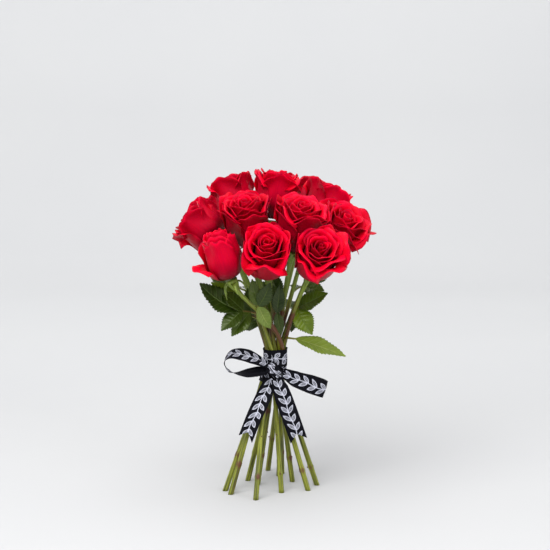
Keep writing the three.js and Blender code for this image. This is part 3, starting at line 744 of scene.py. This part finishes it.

# %% [markdown]
# ## Leaves
# A rose leaf is compound: it has several toothed leaflets on one stalk, of which one to four show here. The
# table says which stem a leaf grows from, at what height, and the points of its stalk. Then it gives each
# leaflet's place on the stalk, its tip, its width, the way its upper face looks, how far it arches and its
# tone, from dark blue green to fresh yellow green. The darkest tones are partly the leaf's own dark green
# and partly painted shade under the blooms. A last 1 turns it over, so that it shows its paler underside.

# %% The leaves
LEAFLET = "share tip width face arch tone over"
LEAVES = {
    "leaf_left_front": (3, 194, [(-20, -19, 196), (-36, -23, 199)], (
        (1, (-77, -34, 231), 27, (0.3, -0.75, 0.6), -0.1, 0.12),
        (0.86, (-54, -35, 179), 20, (-0.4, -0.8, 0.3), 0.06, 0.18),
        (0.55, (-43, -30, 172), 19, (-0.1, -0.8, 0.4), 0.08, 0.3),
        (0.8, (-55, -17, 219), 18, (0.4, -0.7, 0.6), 0.05, 0.25),
    )),
    "leaf_left_back": (4, 188, [(-23, -5.5, 190.4), (-31, -1.5, 197.4)], (
        (1, (-66, -1, 226), 22, (0.3, -0.8, 0.5), 0.06, 0.75),
        (0.7, (-42, 4, 215), 15, (0, -1, 0.3), 0, 0.35),
        (0.5, (-23, 3, 224), 18, (0, -1, 0.1), 0, 0.15),
    )),
    "leaf_front": (3, 207, [(-14, -35, 206)], (
        (1, (-1, -33, 181), 15, (0.2, -0.95, 0.2), 0.08, 0.5, 1),
        (1, (-1, -40, 233), 16, (0, -1, 0.2), 0.04, 0.05),
        (1, (-21, -36, 236), 14, (0.2, -1, 0.2), 0.04, 0.3),
    )),
    "leaf_centre": (1, 197, [(6, -15, 195)], (
        (1, (10, -16, 171), 11, (0, -1, 0.1), 0.05, 0.1),
        (1, (9, -22, 228), 14, (0, -1, 0.1), 0.04, 0.0),
    )),
    "leaf_inner": (9, 188, [(-5, 3, 191)], (
        (1, (-4, 3, 216), 9, (0, -1, 0), 0, 0.5),
    )),
    "leaf_right": (12, 186, [(22, 4, 190), (30, 4, 198)], (
        (1, (61, -6, 215), 22, (-0.2, -0.7, 0.6), 0.06, 0.45),
        (0.85, (52, 10, 203), 18, (0.1, -0.7, 0.7), 0.06, 0.65),
        (0.8, (44, -7, 169), 23, (0.2, -0.9, 0.3), 0.08, 0.95),
        (0.5, (21, 2, 170), 12, (0, -1, 0.1), 0, 0.1),
    )),
    "leaf_right_low": (2, 166, [(17, -7, 166), (26, -10, 165.5)], (
        (1, (80, -20, 148), 21, (0.15, -0.6, 0.8), 0.05, 0.9, 1),
    )),
    "leaf_back_right": (11, 212, [(29, 27, 215), (36, 33, 216)], (
        (1, (66, 52, 232), 23, (0, -0.6, 0.8), 0.08, 0.3),
        (0.75, (58, 24, 212), 19, (0, -0.7, 0.7), 0.06, 0.35),
        (0.75, (24, 54, 208), 19, (0, 0.2, 0.95), 0.06, 0.25),
    )),
    "leaf_back_left": (5, 214, [(-33, 19, 215), (-38, 24, 216)], (
        (1, (-68, 44, 226), 23, (0, -0.6, 0.8), 0.08, 0.3),
        (0.75, (-60, 16, 209), 19, (0, -0.7, 0.7), 0.06, 0.2),
        (0.75, (-25, 50, 208), 19, (0, 0.2, 0.95), 0.06, 0.4),
    )),
    "leaf_back": (10, 196, [(7, 33, 199)], (
        (1, (-8, 62, 190), 20, (0, 0.6, 0.8), 0.08, 0.2),
        (0.8, (30, 52, 183), 19, (0.2, 0.7, 0.7), 0.08, 0.3),
        (1, (-20, 30, 222), 24, (0.1, -1, 0.3), 0.06, 0.2),
        (1, (-5, 41, 236), 19, (-0.1, -1, 0.3), 0.06, 0.1),
    )),
    "leaf_middle": (8, 178, [(-12, 14, 181)], (
        (1, (-46, 16, 203), 22, (0, -0.9, 0.5), 0.06, 0.3),
        (1, (-10, 24, 214), 20, (0, -1, 0.2), 0.05, 0.15),
        (0.8, (-36, 22, 172), 17, (0, -0.8, 0.6), 0.06, 0.25),
    )),
}
print("leaflets:", sum(len(leaflets) for *_, leaflets in LEAVES.values()))

# %% [markdown]
# ## Leaf finishes
# The upper face is dark and glossy with a lighter midrib and side veins, which also show as fine grooves.
# The veins are drawn in the leaflet's UV map: its middle line is the midrib, and slanting lines lead off
# from it to the edge. The underside is pale, matt, and its veins stand out.

# %% Make the leaf finishes
SIDE_VEINS = 8
VEIN_SLANT = 0.16


def leaf_finish(name, dark, fresh, vein, rough, bump):
    material, tree, shader = new_finish(name)
    _, less, times = arithmetic(tree)
    across, along, _ = parts_of(tree, coordinates(tree, "UV"))
    aside = sums(tree, "ABSOLUTE", sums(tree, "MULTIPLY_ADD", across, 2.0, -1.0))
    slant = times(less(along, times(aside, VEIN_SLANT)), math.pi * SIDE_VEINS)
    wave = times(sums(tree, "ABSOLUTE", sums(tree, "SINE", slant)), 5.0)
    side = less(1.0, sums(tree, "SMOOTH_MIN", wave, 1.0, 0.3))
    midrib = less(1.0, sums(tree, "MINIMUM", times(aside, 13.0), 1.0))
    veins = sums(tree, "MAXIMUM", times(side, 0.55), midrib)
    mottle = soft_noise(tree, coordinates(tree, "Object"), 130.0, 5.0)
    # Low tones give a near-black green: partly the leaf's own colour, partly painted shade.
    colour = blend_colours(tree, attribute(tree, "tone", "Fac"), dark, fresh)
    mottled = ramp(tree, mottle, [(0.3, (0.6, 0.62, 0.6)), (0.7, (1.2, 1.15, 1))])
    colour = blend_colours(tree, 0.55, colour, mottled, "MULTIPLY")
    wire_all(tree, shader, {
        "Base Color": blend_colours(tree, times(veins, 0.7), colour, vein),
        "Roughness": rough,
        "Specular IOR Level": 0.44,
        "Specular Tint": (0.92, 1, 0.66),
    })
    set_bump(tree, shader, less(times(mottle, 0.5), times(veins, bump)), 0.5, 0.0008)
    return material


# The dark end of the upper face is near black, partly painted shade under the blooms.
LEAF_TOP = leaf_finish(
    "leaf_upper", (0.009, 0.024, 0.003), (0.11, 0.17, 0.004), (0.11, 0.17, 0.025), rough=0.28, bump=1.2)
LEAF_UNDER = leaf_finish(
    "leaf_under", (0.08, 0.13, 0.03), (0.15, 0.21, 0.02), (0.34, 0.4, 0.11), rough=0.42, bump=-1.2)
print("nodes in a leaf finish:", len(LEAF_TOP.node_tree.nodes))

# %% [markdown]
# ## Toothed leaflets
# A leaflet is a grid as well: its rows run from stalk to tip, and its edge columns are moved in and out to
# cut the teeth, which lean forward. Its halves rise from the midrib like an open book, and the edge waves a
# little.

# %% Build the leaves
STALK_RADIUS, STALK_ROOT = 0.95, 1.25
STALK_SIDES, STALK_STEP, STALK_TONE = 8, 1.5, 0.45
LEAF_FOLD = 0.22
TEETH = 15
LEAF_CELLS = (12, 66)
LEAF_THICK = 0.00045
LEAF_SEED = 31


def along_path(path, height):
    """The middle of a stem at a height, and the way it runs there."""
    walked = [at for at, _ in even_steps(path, 0.5)]
    n = min(range(1, len(walked)), key=lambda k: abs(walked[k].z - height))
    return walked[n].copy(), (walked[n] - walked[n - 1]).normalized()


def through(points, count):
    """A smooth line through a few points, a centripetal Catmull-Rom curve."""
    ends = [points[0] * 2 - points[1]] + points + [points[-1] * 2 - points[-2]]
    line = []
    for k in range(count + 1):
        place = k / count * (len(points) - 1)
        n = min(int(place), len(points) - 2)
        p0, p1, p2, p3 = ends[n:n + 4]
        d0, d1, d2 = ((b - a).length ** 0.5 for a, b in ((p0, p1), (p1, p2), (p2, p3)))
        m1 = ((p1 - p0) / d0 - (p2 - p0) / (d0 + d1) + (p2 - p1) / d1) * d1
        m2 = ((p2 - p1) / d1 - (p3 - p1) / (d1 + d2) + (p3 - p2) / d2) * d1
        w = place - n
        square, cube = (p2 - p1) * 3 - m1 * 2 - m2, (p1 - p2) * 2 + m1 + m2
        line.append(p1 + m1 * w + square * w ** 2 + cube * w ** 3)
    return line


def tooth(v):
    """From -1 in a notch to 1 at a tooth's point, rising slowly and falling fast towards the tip."""
    saw = (v * TEETH) % 1
    return (saw / 0.72 if saw < 0.72 else (1 - saw) / 0.28) * 2 - 1


def grow_leaflet(bm, base, leaflet, dice):
    span = Vector(leaflet["tip"]) - base
    length = span.length
    forward = span / length
    side = forward.cross(Vector(leaflet["face"])).normalized()
    up = side.cross(forward)
    phase, sway = dice.uniform(0, 6), dice.uniform(-1, 1)

    def point_at(u, v):
        outline = math.sin(math.pi * v ** 0.85) ** 0.9 if v < 1 else 0
        half = leaflet["width"] / 2 * outline + 0.12
        reach = u * half * (1 + 0.075 * tooth(v) * abs(u) ** 5)
        lift = LEAF_FOLD * abs(u) * half + leaflet["arch"] * length * 4 * v * (1 - v)
        lift += 0.09 * half * u * u * math.sin(13 * v + phase + 1.6 * (u > 0))
        lift -= 0.035 * half * abs(math.sin(math.pi * SIDE_VEINS * (v - VEIN_SLANT * abs(u))))
        bend = sway * length * 0.05 * math.sin(math.pi * v)
        point = base + forward * (length * v - 0.6 + 0.45 * tooth(v) * abs(u) ** 8) + side * (reach + bend)
        return point + up * lift

    faces = lay_grid(bm, LEAF_CELLS, point_at, leaflet["tone"])
    bm.normal_update()
    if sum(face.normal.dot(up) for face in faces) < 0:
        bmesh.ops.reverse_faces(bm, faces=faces)
    thicken(bm, faces, LEAF_THICK)
    return up


def stalk_radius(far, whole, at):
    return mix(STALK_ROOT, STALK_RADIUS, far / whole)


for name, (stem, height, stalk, leaflets) in LEAVES.items():
    dice = random.Random(len(name) * LEAF_SEED + stem)
    bm = stalk_mesh()
    inside, rising = along_path(ROSES[stem - 1]["path"], height)
    points = [Vector(point) for point in stalk]
    going = (points[0] - inside).normalized()
    away = (going - rising * going.dot(rising)).normalized()
    line = through([inside + away * (WAIST_STEM - 0.5)] + points, 8 * len(points))
    stations = stations_along(line, STALK_STEP, stalk_radius)
    grow_stalk(bm, stations, STALK_SIDES, lambda at: STALK_TONE, material=2)
    walked = even_steps(line, 0.5)
    for leaflet in rows(LEAFLET, *leaflets):
        base = walked[round(leaflet["share"] * (len(walked) - 1))][0]
        before = set(bm.faces)
        up = grow_leaflet(bm, base, leaflet, dice)
        over = leaflet.get("over", 0)
        for face in bm.faces:
            if face not in before:
                face.material_index = over if face.normal.dot(up) > 0 else 1 - over
    finish_piece(bm, f"{name}_blades", [LEAF_TOP, LEAF_UNDER, STEM_BARK], name)
print("leaves:", len(LEAVES))

# %% [markdown]
# ## Printed ribbon
# The ribbon is a matt black weave with a pale leaf vine printed on its face. The vine is drawn with
# arithmetic in the ribbon's UV map, where one unit is the ribbon's width: a wandering stalk, and pairs of
# outlined leaves that lean forward on both sides of it. The back of the ribbon is plain.

# %% The ribbon finishes
RIBBON_WIDTH = 19
PAIR_EVERY = 10
PRINT_LEAF = (9.6, 1.65)
LEAF_SLANT = math.radians(38)
VINE_WAVE, VINE_SWAY = 33, 0.9
ROUND_UP = 950.0  # a whole number of pairs, which keeps lengths above zero


def weave(tree, uv):
    threads = {"Vector": stretched(tree, uv, (70, 70, 1)), "Scale": 0.5}
    over, under = (add_node(tree, "ShaderNodeTexWave", threads, wave_type="BANDS", bands_direction=way)
                   for way in "XY")
    return sums(tree, "MULTIPLY", over, under)


def vine(tree, uv):
    """How much ink there is: 1 on the stalk and the leaves' outlines and ribs, 0.16 inside the leaves."""
    add, less, times = arithmetic(tree)
    sideways, along, _ = parts_of(tree, uv)
    far = times(along, float(RIBBON_WIDTH))
    wander = times(sums(tree, "SINE", times(far, 2 * math.pi / VINE_WAVE)), VINE_SWAY)
    across = less(sums(tree, "MULTIPLY_ADD", sideways, float(RIBBON_WIDTH), -RIBBON_WIDTH / 2), wander)
    aside = sums(tree, "ABSOLUTE", across)
    stagger = times(sums(tree, "GREATER_THAN", across, 0.0), 1.1)
    cell = sums(tree, "MODULO", add(add(far, stagger), ROUND_UP), PAIR_EVERY)
    x, y = less(aside, 0.3), less(cell, 1.2)
    sine, cosine = math.sin(LEAF_SLANT), math.cos(LEAF_SLANT)
    share = sums(tree, "DIVIDE", add(times(x, sine), times(y, cosine)), PRINT_LEAF[0])
    off = sums(tree, "ABSOLUTE", less(times(x, cosine), times(y, sine)))
    edge = less(off, times(times(share, less(1.0, share)), 4 * PRINT_LEAF[1]))
    outline = sums(tree, "LESS_THAN", sums(tree, "ABSOLUTE", edge), 0.42)
    inside = sums(tree, "LESS_THAN", edge, -0.3)
    within = times(sums(tree, "GREATER_THAN", share, -0.06), sums(tree, "LESS_THAN", share, 1.06))
    rib = times(sums(tree, "LESS_THAN", off, 0.2), inside)
    leaf = times(sums(tree, "MAXIMUM", outline, rib), within)
    ink = sums(tree, "MAXIMUM", leaf, sums(tree, "LESS_THAN", aside, 0.45))
    return sums(tree, "MAXIMUM", ink, times(times(inside, within), 0.16))


def ribbon_finish(name, printed):
    material, tree, shader = new_finish(name)
    uv = coordinates(tree, "UV")
    threads = weave(tree, uv)
    colour = blend_colours(tree, threads, (0.0015, 0.0015, 0.003), (0.007, 0.007, 0.012))
    if printed:
        worn = sums(tree, "MULTIPLY_ADD", soft_noise(tree, uv, 9.0, 5.0), 0.5, 0.62)
        ink = sums(tree, "MULTIPLY", vine(tree, uv), worn)
        colour = blend_colours(tree, ink, colour, (0.56, 0.57, 0.66))
    wire_all(tree, shader, {
        "Base Color": colour,
        "Roughness": 0.8,
        "Specular IOR Level": 0.09,
        "Sheen Weight": 0.02,
        "Sheen Tint": (0.8, 0.82, 1),
    })
    set_bump(tree, shader, threads, 0.25, 0.0002)
    return material


RIBBON_FACE, RIBBON_BACK = ribbon_finish("ribbon_printed", True), ribbon_finish("ribbon_plain", False)
print("nodes in the print:", len(RIBBON_FACE.node_tree.nodes) - len(RIBBON_BACK.node_tree.nodes))

# %% [markdown]
# ## Bow loops and tails
# A length of ribbon is a grid laid along a smooth line. Each station gives the middle of the ribbon, the
# way across it, and how much of its width is left where the knot gathers it: there it falls into pleats.
# The tails end in a notch.

# %% The stations of the bow
LOOP_LEFT = [
    ((-5.2, -17.4, 138.6), (0, 0.8, 0.6), 0.5), ((-13, -17, 143), (0, 0.8, 0.6), 0.8),
    ((-23.4, -17, 147.6), (0, 0.8, 0.6), 1), ((-34.2, -16, 150), (0, 0.85, 0.53), 1),
    ((-44, -15, 149.6), (0, 0.95, 0.3), 1), ((-49.6, -15, 145), (0, 1, 0.05), 1),
    ((-51, -15, 138.5), (0, 1, -0.2), 1), ((-46.5, -16, 131.8), (0, 0.94, -0.35), 1),
    ((-38.6, -17, 129.2), (0, 1, -0.1), 1), ((-26.7, -17, 129.3), (0, 0.95, 0.3), 1),
    ((-15, -17, 131), (0, 0.87, 0.5), 0.8), ((-5.2, -17.4, 132), (0, 0.85, 0.5), 0.5),
]
LOOP_RIGHT = [
    ((12.2, -19.2, 130.5), (0.33, 0.1, 0.93), 0.5), ((25, -21.5, 124), (0.33, 0.1, 0.93), 0.9),
    ((41.2, -22.4, 117.8), (0.33, 0.05, 0.93), 1), ((54.4, -21.6, 113), (0.3, 0, 0.95), 1),
    ((57.8, -18.4, 111.5), (0.28, 0, 0.96), 1), ((54.4, -15, 113), (0.3, 0, 0.95), 1),
    ((41.2, -14.4, 117.4), (0.33, 0.05, 0.93), 1), ((25, -15, 122.4), (0.33, 0.1, 0.93), 0.9),
    ((12.2, -16.6, 129.5), (0.33, 0.1, 0.93), 0.5),
]
TAIL_LEFT = [
    ((-0.5, -15.6, 123.3), (0.98, 0, -0.2), 0.6), ((-4.4, -16.9, 114), (0.94, -0.1, -0.3), 0.8),
    ((-9.2, -22.8, 104), (0.8, -0.4, -0.32), 0.95), ((-18, -30, 86), (0.75, -0.55, -0.3), 1),
    ((-28.4, -36, 61), (0.75, -0.55, -0.3), 1),
]
TAIL_RIGHT = [
    ((5.4, -18.9, 123.3), (0.97, 0, 0.2), 0.6), ((8.9, -20.8, 114), (0.93, 0, 0.35), 0.9),
    ((12.5, -22, 104), (0.93, 0, 0.35), 1), ((19.7, -22.5, 84), (0.93, 0, 0.35), 1),
    ((29.4, -24.5, 56), (0.93, 0, 0.35), 1),
]
TAIL_CUT = 8
KNOT_AT = Vector((3.5, -17.4, 132.5))
RIBBON_THICK = 0.0004
print("bow stations:", sum(len(line) for line in (LOOP_LEFT, LOOP_RIGHT, TAIL_LEFT, TAIL_RIGHT)))

# %% Lay a length of ribbon
RIBBON_CELLS = (16, 72)
PLEAT_DEPTH = 2.6


def line_length(points):
    return sum((b - a).length for a, b in zip(points, points[1:]))


def ribbon_piece(node, point_at, cells, length=None, face_first=False, backwards=False):
    """A piece of ribbon laid by point_at(u, v). It prints its length: the one given, or its middle thread's.

    Its UV is in ribbon widths, by the length along each thread.
    """
    across, along = cells
    threads = []
    for i in range(across + 1):
        line = [point_at(2 * i / across - 1, n / along) for n in range(along + 1)]
        threads.append([line_length(line[:n + 1]) for n in range(along + 1)])

    def uv_at(u, v):
        far = threads[round((u + 1) / 2 * across)][round(v * along)]
        return (u + 1) / 2, (-far if backwards else far) / RIBBON_WIDTH

    bm = bmesh.new()
    lay_grid(bm, cells, point_at, uv_at=uv_at)
    length = length or threads[across // 2][-1]
    finishes = [RIBBON_FACE, RIBBON_BACK] if face_first else [RIBBON_BACK, RIBBON_FACE]
    piece = finish_piece(bm, f"{node}_cloth", finishes, node)
    add_wall(piece, "ribbon_wall", RIBBON_THICK)
    print(node, "length, mm:", round(length, 1))


def lay_ribbon(node, stations, cut=0, face_first=False, backwards=False):
    along = RIBBON_CELLS[1]
    points = through([Vector(at) for at, _, _ in stations], along)

    def point_at(u, v):
        n = round(v * along)
        place = v * (len(stations) - 1)
        k = min(int(place), len(stations) - 2)
        sideways = Vector(stations[k][1]).lerp(Vector(stations[k + 1][1]), place - k).normalized()
        share = mix(stations[k][2], stations[k + 1][2], place - k)
        forward = (points[min(n + 1, along)] - points[max(n - 1, 0)]).normalized()
        outward = sideways.cross(forward).normalized()
        point = points[n] + sideways * u * share * RIBBON_WIDTH / 2
        point += outward * (1 - share) * PLEAT_DEPTH * math.cos(2.6 * math.pi * u + 0.6)
        point += outward * 0.35 * math.sin(9 * v + 2 * u)
        return point - forward * cut * (1 - abs(u)) * smooth(0.6, 1, v)

    ribbon_piece(node, point_at, RIBBON_CELLS, line_length(points),
                 face_first, backwards)


lay_ribbon("ribbon_loop_left", LOOP_LEFT, face_first=True)
lay_ribbon("ribbon_loop_right", LOOP_RIGHT, backwards=True)
lay_ribbon("ribbon_tail_left", TAIL_LEFT, cut=TAIL_CUT)
lay_ribbon("ribbon_tail_right", TAIL_RIGHT, cut=TAIL_CUT, backwards=True)

# %% [markdown]
# ## The wrap round the stems
# The ribbon goes round the stems a little more than twice, each turn lapping over the last. At every height
# a taut ribbon touches only the outermost stems and runs straight between them. That outline is found by
# asking, for each direction round the bunch, which stem reaches furthest that way.

# %% Wrap the ribbon
BAND_TURNS = 2.25
BAND_LOW, BAND_HIGH = 118.4, 153.6
BAND_SLANT = 1.34
WRAP_CELLS = (8, 200)
LEVELS = {height: [along_path(rose["path"], height)[0] for rose in ROSES] for height in range(112, 160)}


def taut(spots, degrees, clear):
    outward = polar(1, degrees, 0)
    furthest = max(spots, key=lambda spot: spot.dot(outward))
    return furthest + outward * (WAIST_STEM * BAND_SLANT + clear)


def wrap_point(u, v):
    turned = 360 * BAND_TURNS * v - 200
    middle = mix(BAND_LOW, BAND_HIGH - RIBBON_WIDTH, smooth(0.05, 0.55, v)) + RIBBON_WIDTH / 2
    height = middle + u * RIBBON_WIDTH / 2
    point = taut(LEVELS[round(height)], turned, 0.35 + 0.42 * BAND_TURNS * v)
    return Vector((point.x, point.y, height))


ribbon_piece("ribbon_band", wrap_point, WRAP_CELLS)

# %% [markdown]
# ## The knot
# The knot is the ribbon turned over on itself and pulled tight: a slanting strap over a crumpled middle. It
# is laid as one short length round the knot's core, narrow and pleated, from upper left to lower right.

# %% Tie the knot
KNOT_SLANT = Vector((0.74, 0, -0.67)).normalized()
KNOT_ACROSS = Vector((0.67, 0, 0.74)).normalized()
KNOT_DEEP = Vector((0, 1, 0))
KNOT_CELLS = (18, 48)


def knot_point(u, v):
    turn = 2 * math.pi * v * 1.02 + math.pi / 2
    bulge = 1 - 0.16 * u * u
    swell = 1 + 0.05 * v
    along = KNOT_SLANT * 8.4 * math.cos(turn) * bulge * swell
    deep = KNOT_DEEP * 4.4 * math.sin(turn) * bulge * swell
    fold = 0.9 * math.cos(9 * u + 1)
    wide = KNOT_ACROSS * u * (6.2 + 0.8 * math.sin(turn * 2))
    out = (KNOT_SLANT * math.cos(turn) + KNOT_DEEP * math.sin(turn)) * fold
    return KNOT_AT + along + deep + wide + out


ribbon_piece("ribbon_knot", knot_point, KNOT_CELLS)

# %% [markdown]
# ## Floor, light and camera
# The bunch stands on a plain pale sweep: a floor that curves up into a backdrop, so no line shows behind
# it. Big soft lamps stand where a studio's would, and the camera looks slightly down with a long lens.

# %% The sweep
def sweep_finish():
    material, tree, shader = new_finish("pale_sweep")
    place = coordinates(tree, "Object")
    grain = soft_noise(tree, place, 3.0, 2.0)
    # The sweep is painted darker on the near floor, where the lamps are strongest, and paler up the
    # backdrop: painted shade and light that even out the lamps.
    back = sums(tree, "MULTIPLY", parts_of(tree, place)[1], 0.4)
    tones = [(0.0, 0.5), (0.14, 0.51), (0.3, 0.55), (0.44, 0.58), (0.76, 0.57), (0.88, 0.62)]
    colour = ramp(tree, back, [(far, (tone, tone, tone)) for far, tone in tones])
    shade = ramp(tree, grain, [(0.3, (0.96, 0.96, 0.97)), (0.7, (1, 1, 1))])
    colour = blend_colours(tree, 0.5, colour, shade, "MULTIPLY")
    wire_all(tree, shader, {"Base Color": colour, "Roughness": 0.9})
    return material


def pull(bm, edges, way):
    """Extrude edges and carry the new ones along."""
    made = bmesh.ops.extrude_edge_only(bm, edges=edges)["geom"]
    bmesh.ops.translate(bm, vec=way, verts=only(BMVert, made))
    return only(BMEdge, made)


bm = bmesh.new()
front = bm.edges.new([bm.verts.new((-4, -3, 0)), bm.verts.new((4, -3, 0))])
floor = pull(bm, [front], (0, 4.2, 0))
curve = bmesh.ops.spin(bm, geom=floor, cent=(0, 1.2, 1), axis=(1, 0, 0), dvec=(0, 0, 0), angle=math.pi / 2,
                       steps=24)["geom_last"]
pull(bm, only(BMEdge, curve), (0, 0, 3))
sweep = to_object(bm, "sweep", [sweep_finish()])
print("sweep faces:", len(sweep.data.polygons))

# %% The light
LAMP_AIM = Vector((0, 0, 0.2))
LAMPS = rows(
    "name at power size",
    ("key_lamp", (-0.7, -1.3, 2.0), 57, 2.0),
    ("fill_lamp", (1.7, -1.4, 1.1), 16, 1.4),
    ("top_lamp", (0, 0.3, 2.4), 18, 1.6),
)
for row in LAMPS:
    lamp = bpy.data.lights.new(row["name"], "AREA")
    lamp.energy, lamp.shape, lamp.size = row["power"], "SQUARE", row["size"]
    holder = bpy.data.objects.new(row["name"], lamp)
    holder.location = row["at"]
    holder.rotation_mode = "QUATERNION"
    holder.rotation_quaternion = (LAMP_AIM - Vector(row["at"])).to_track_quat("-Z", "Y")
    bpy.context.scene.collection.objects.link(holder)
world = bpy.data.worlds.new("studio")
bpy.context.scene.world = world
world.use_nodes = True
sky = world.node_tree.nodes["Background"]
wire_all(world.node_tree, sky, {"Color": (0.95, 0.97, 1), "Strength": 0.82})
bpy.context.scene.view_settings.view_transform = "Standard"
print("lamps:", [row["name"] for row in LAMPS])

# %% The camera
SENSOR = 36
PHOTO_FOCUS, PHOTO_WIDTH = 1688, 550
CAMERA_AT, CAMERA_DOWN = Vector((3.5, -1796, 531.7)), 9.42
camera_data = bpy.data.cameras.new("camera")
camera_data.sensor_width = SENSOR
camera_data.lens = SENSOR * PHOTO_FOCUS / PHOTO_WIDTH
camera = bpy.data.objects.new("camera", camera_data)
camera.location = metres(CAMERA_AT)
camera.rotation_euler = (math.radians(90 - CAMERA_DOWN), 0, 0)
bpy.context.scene.collection.objects.link(camera)
bpy.context.scene.camera = camera
print("lens, mm:", round(camera_data.lens, 1))

# %% Finish
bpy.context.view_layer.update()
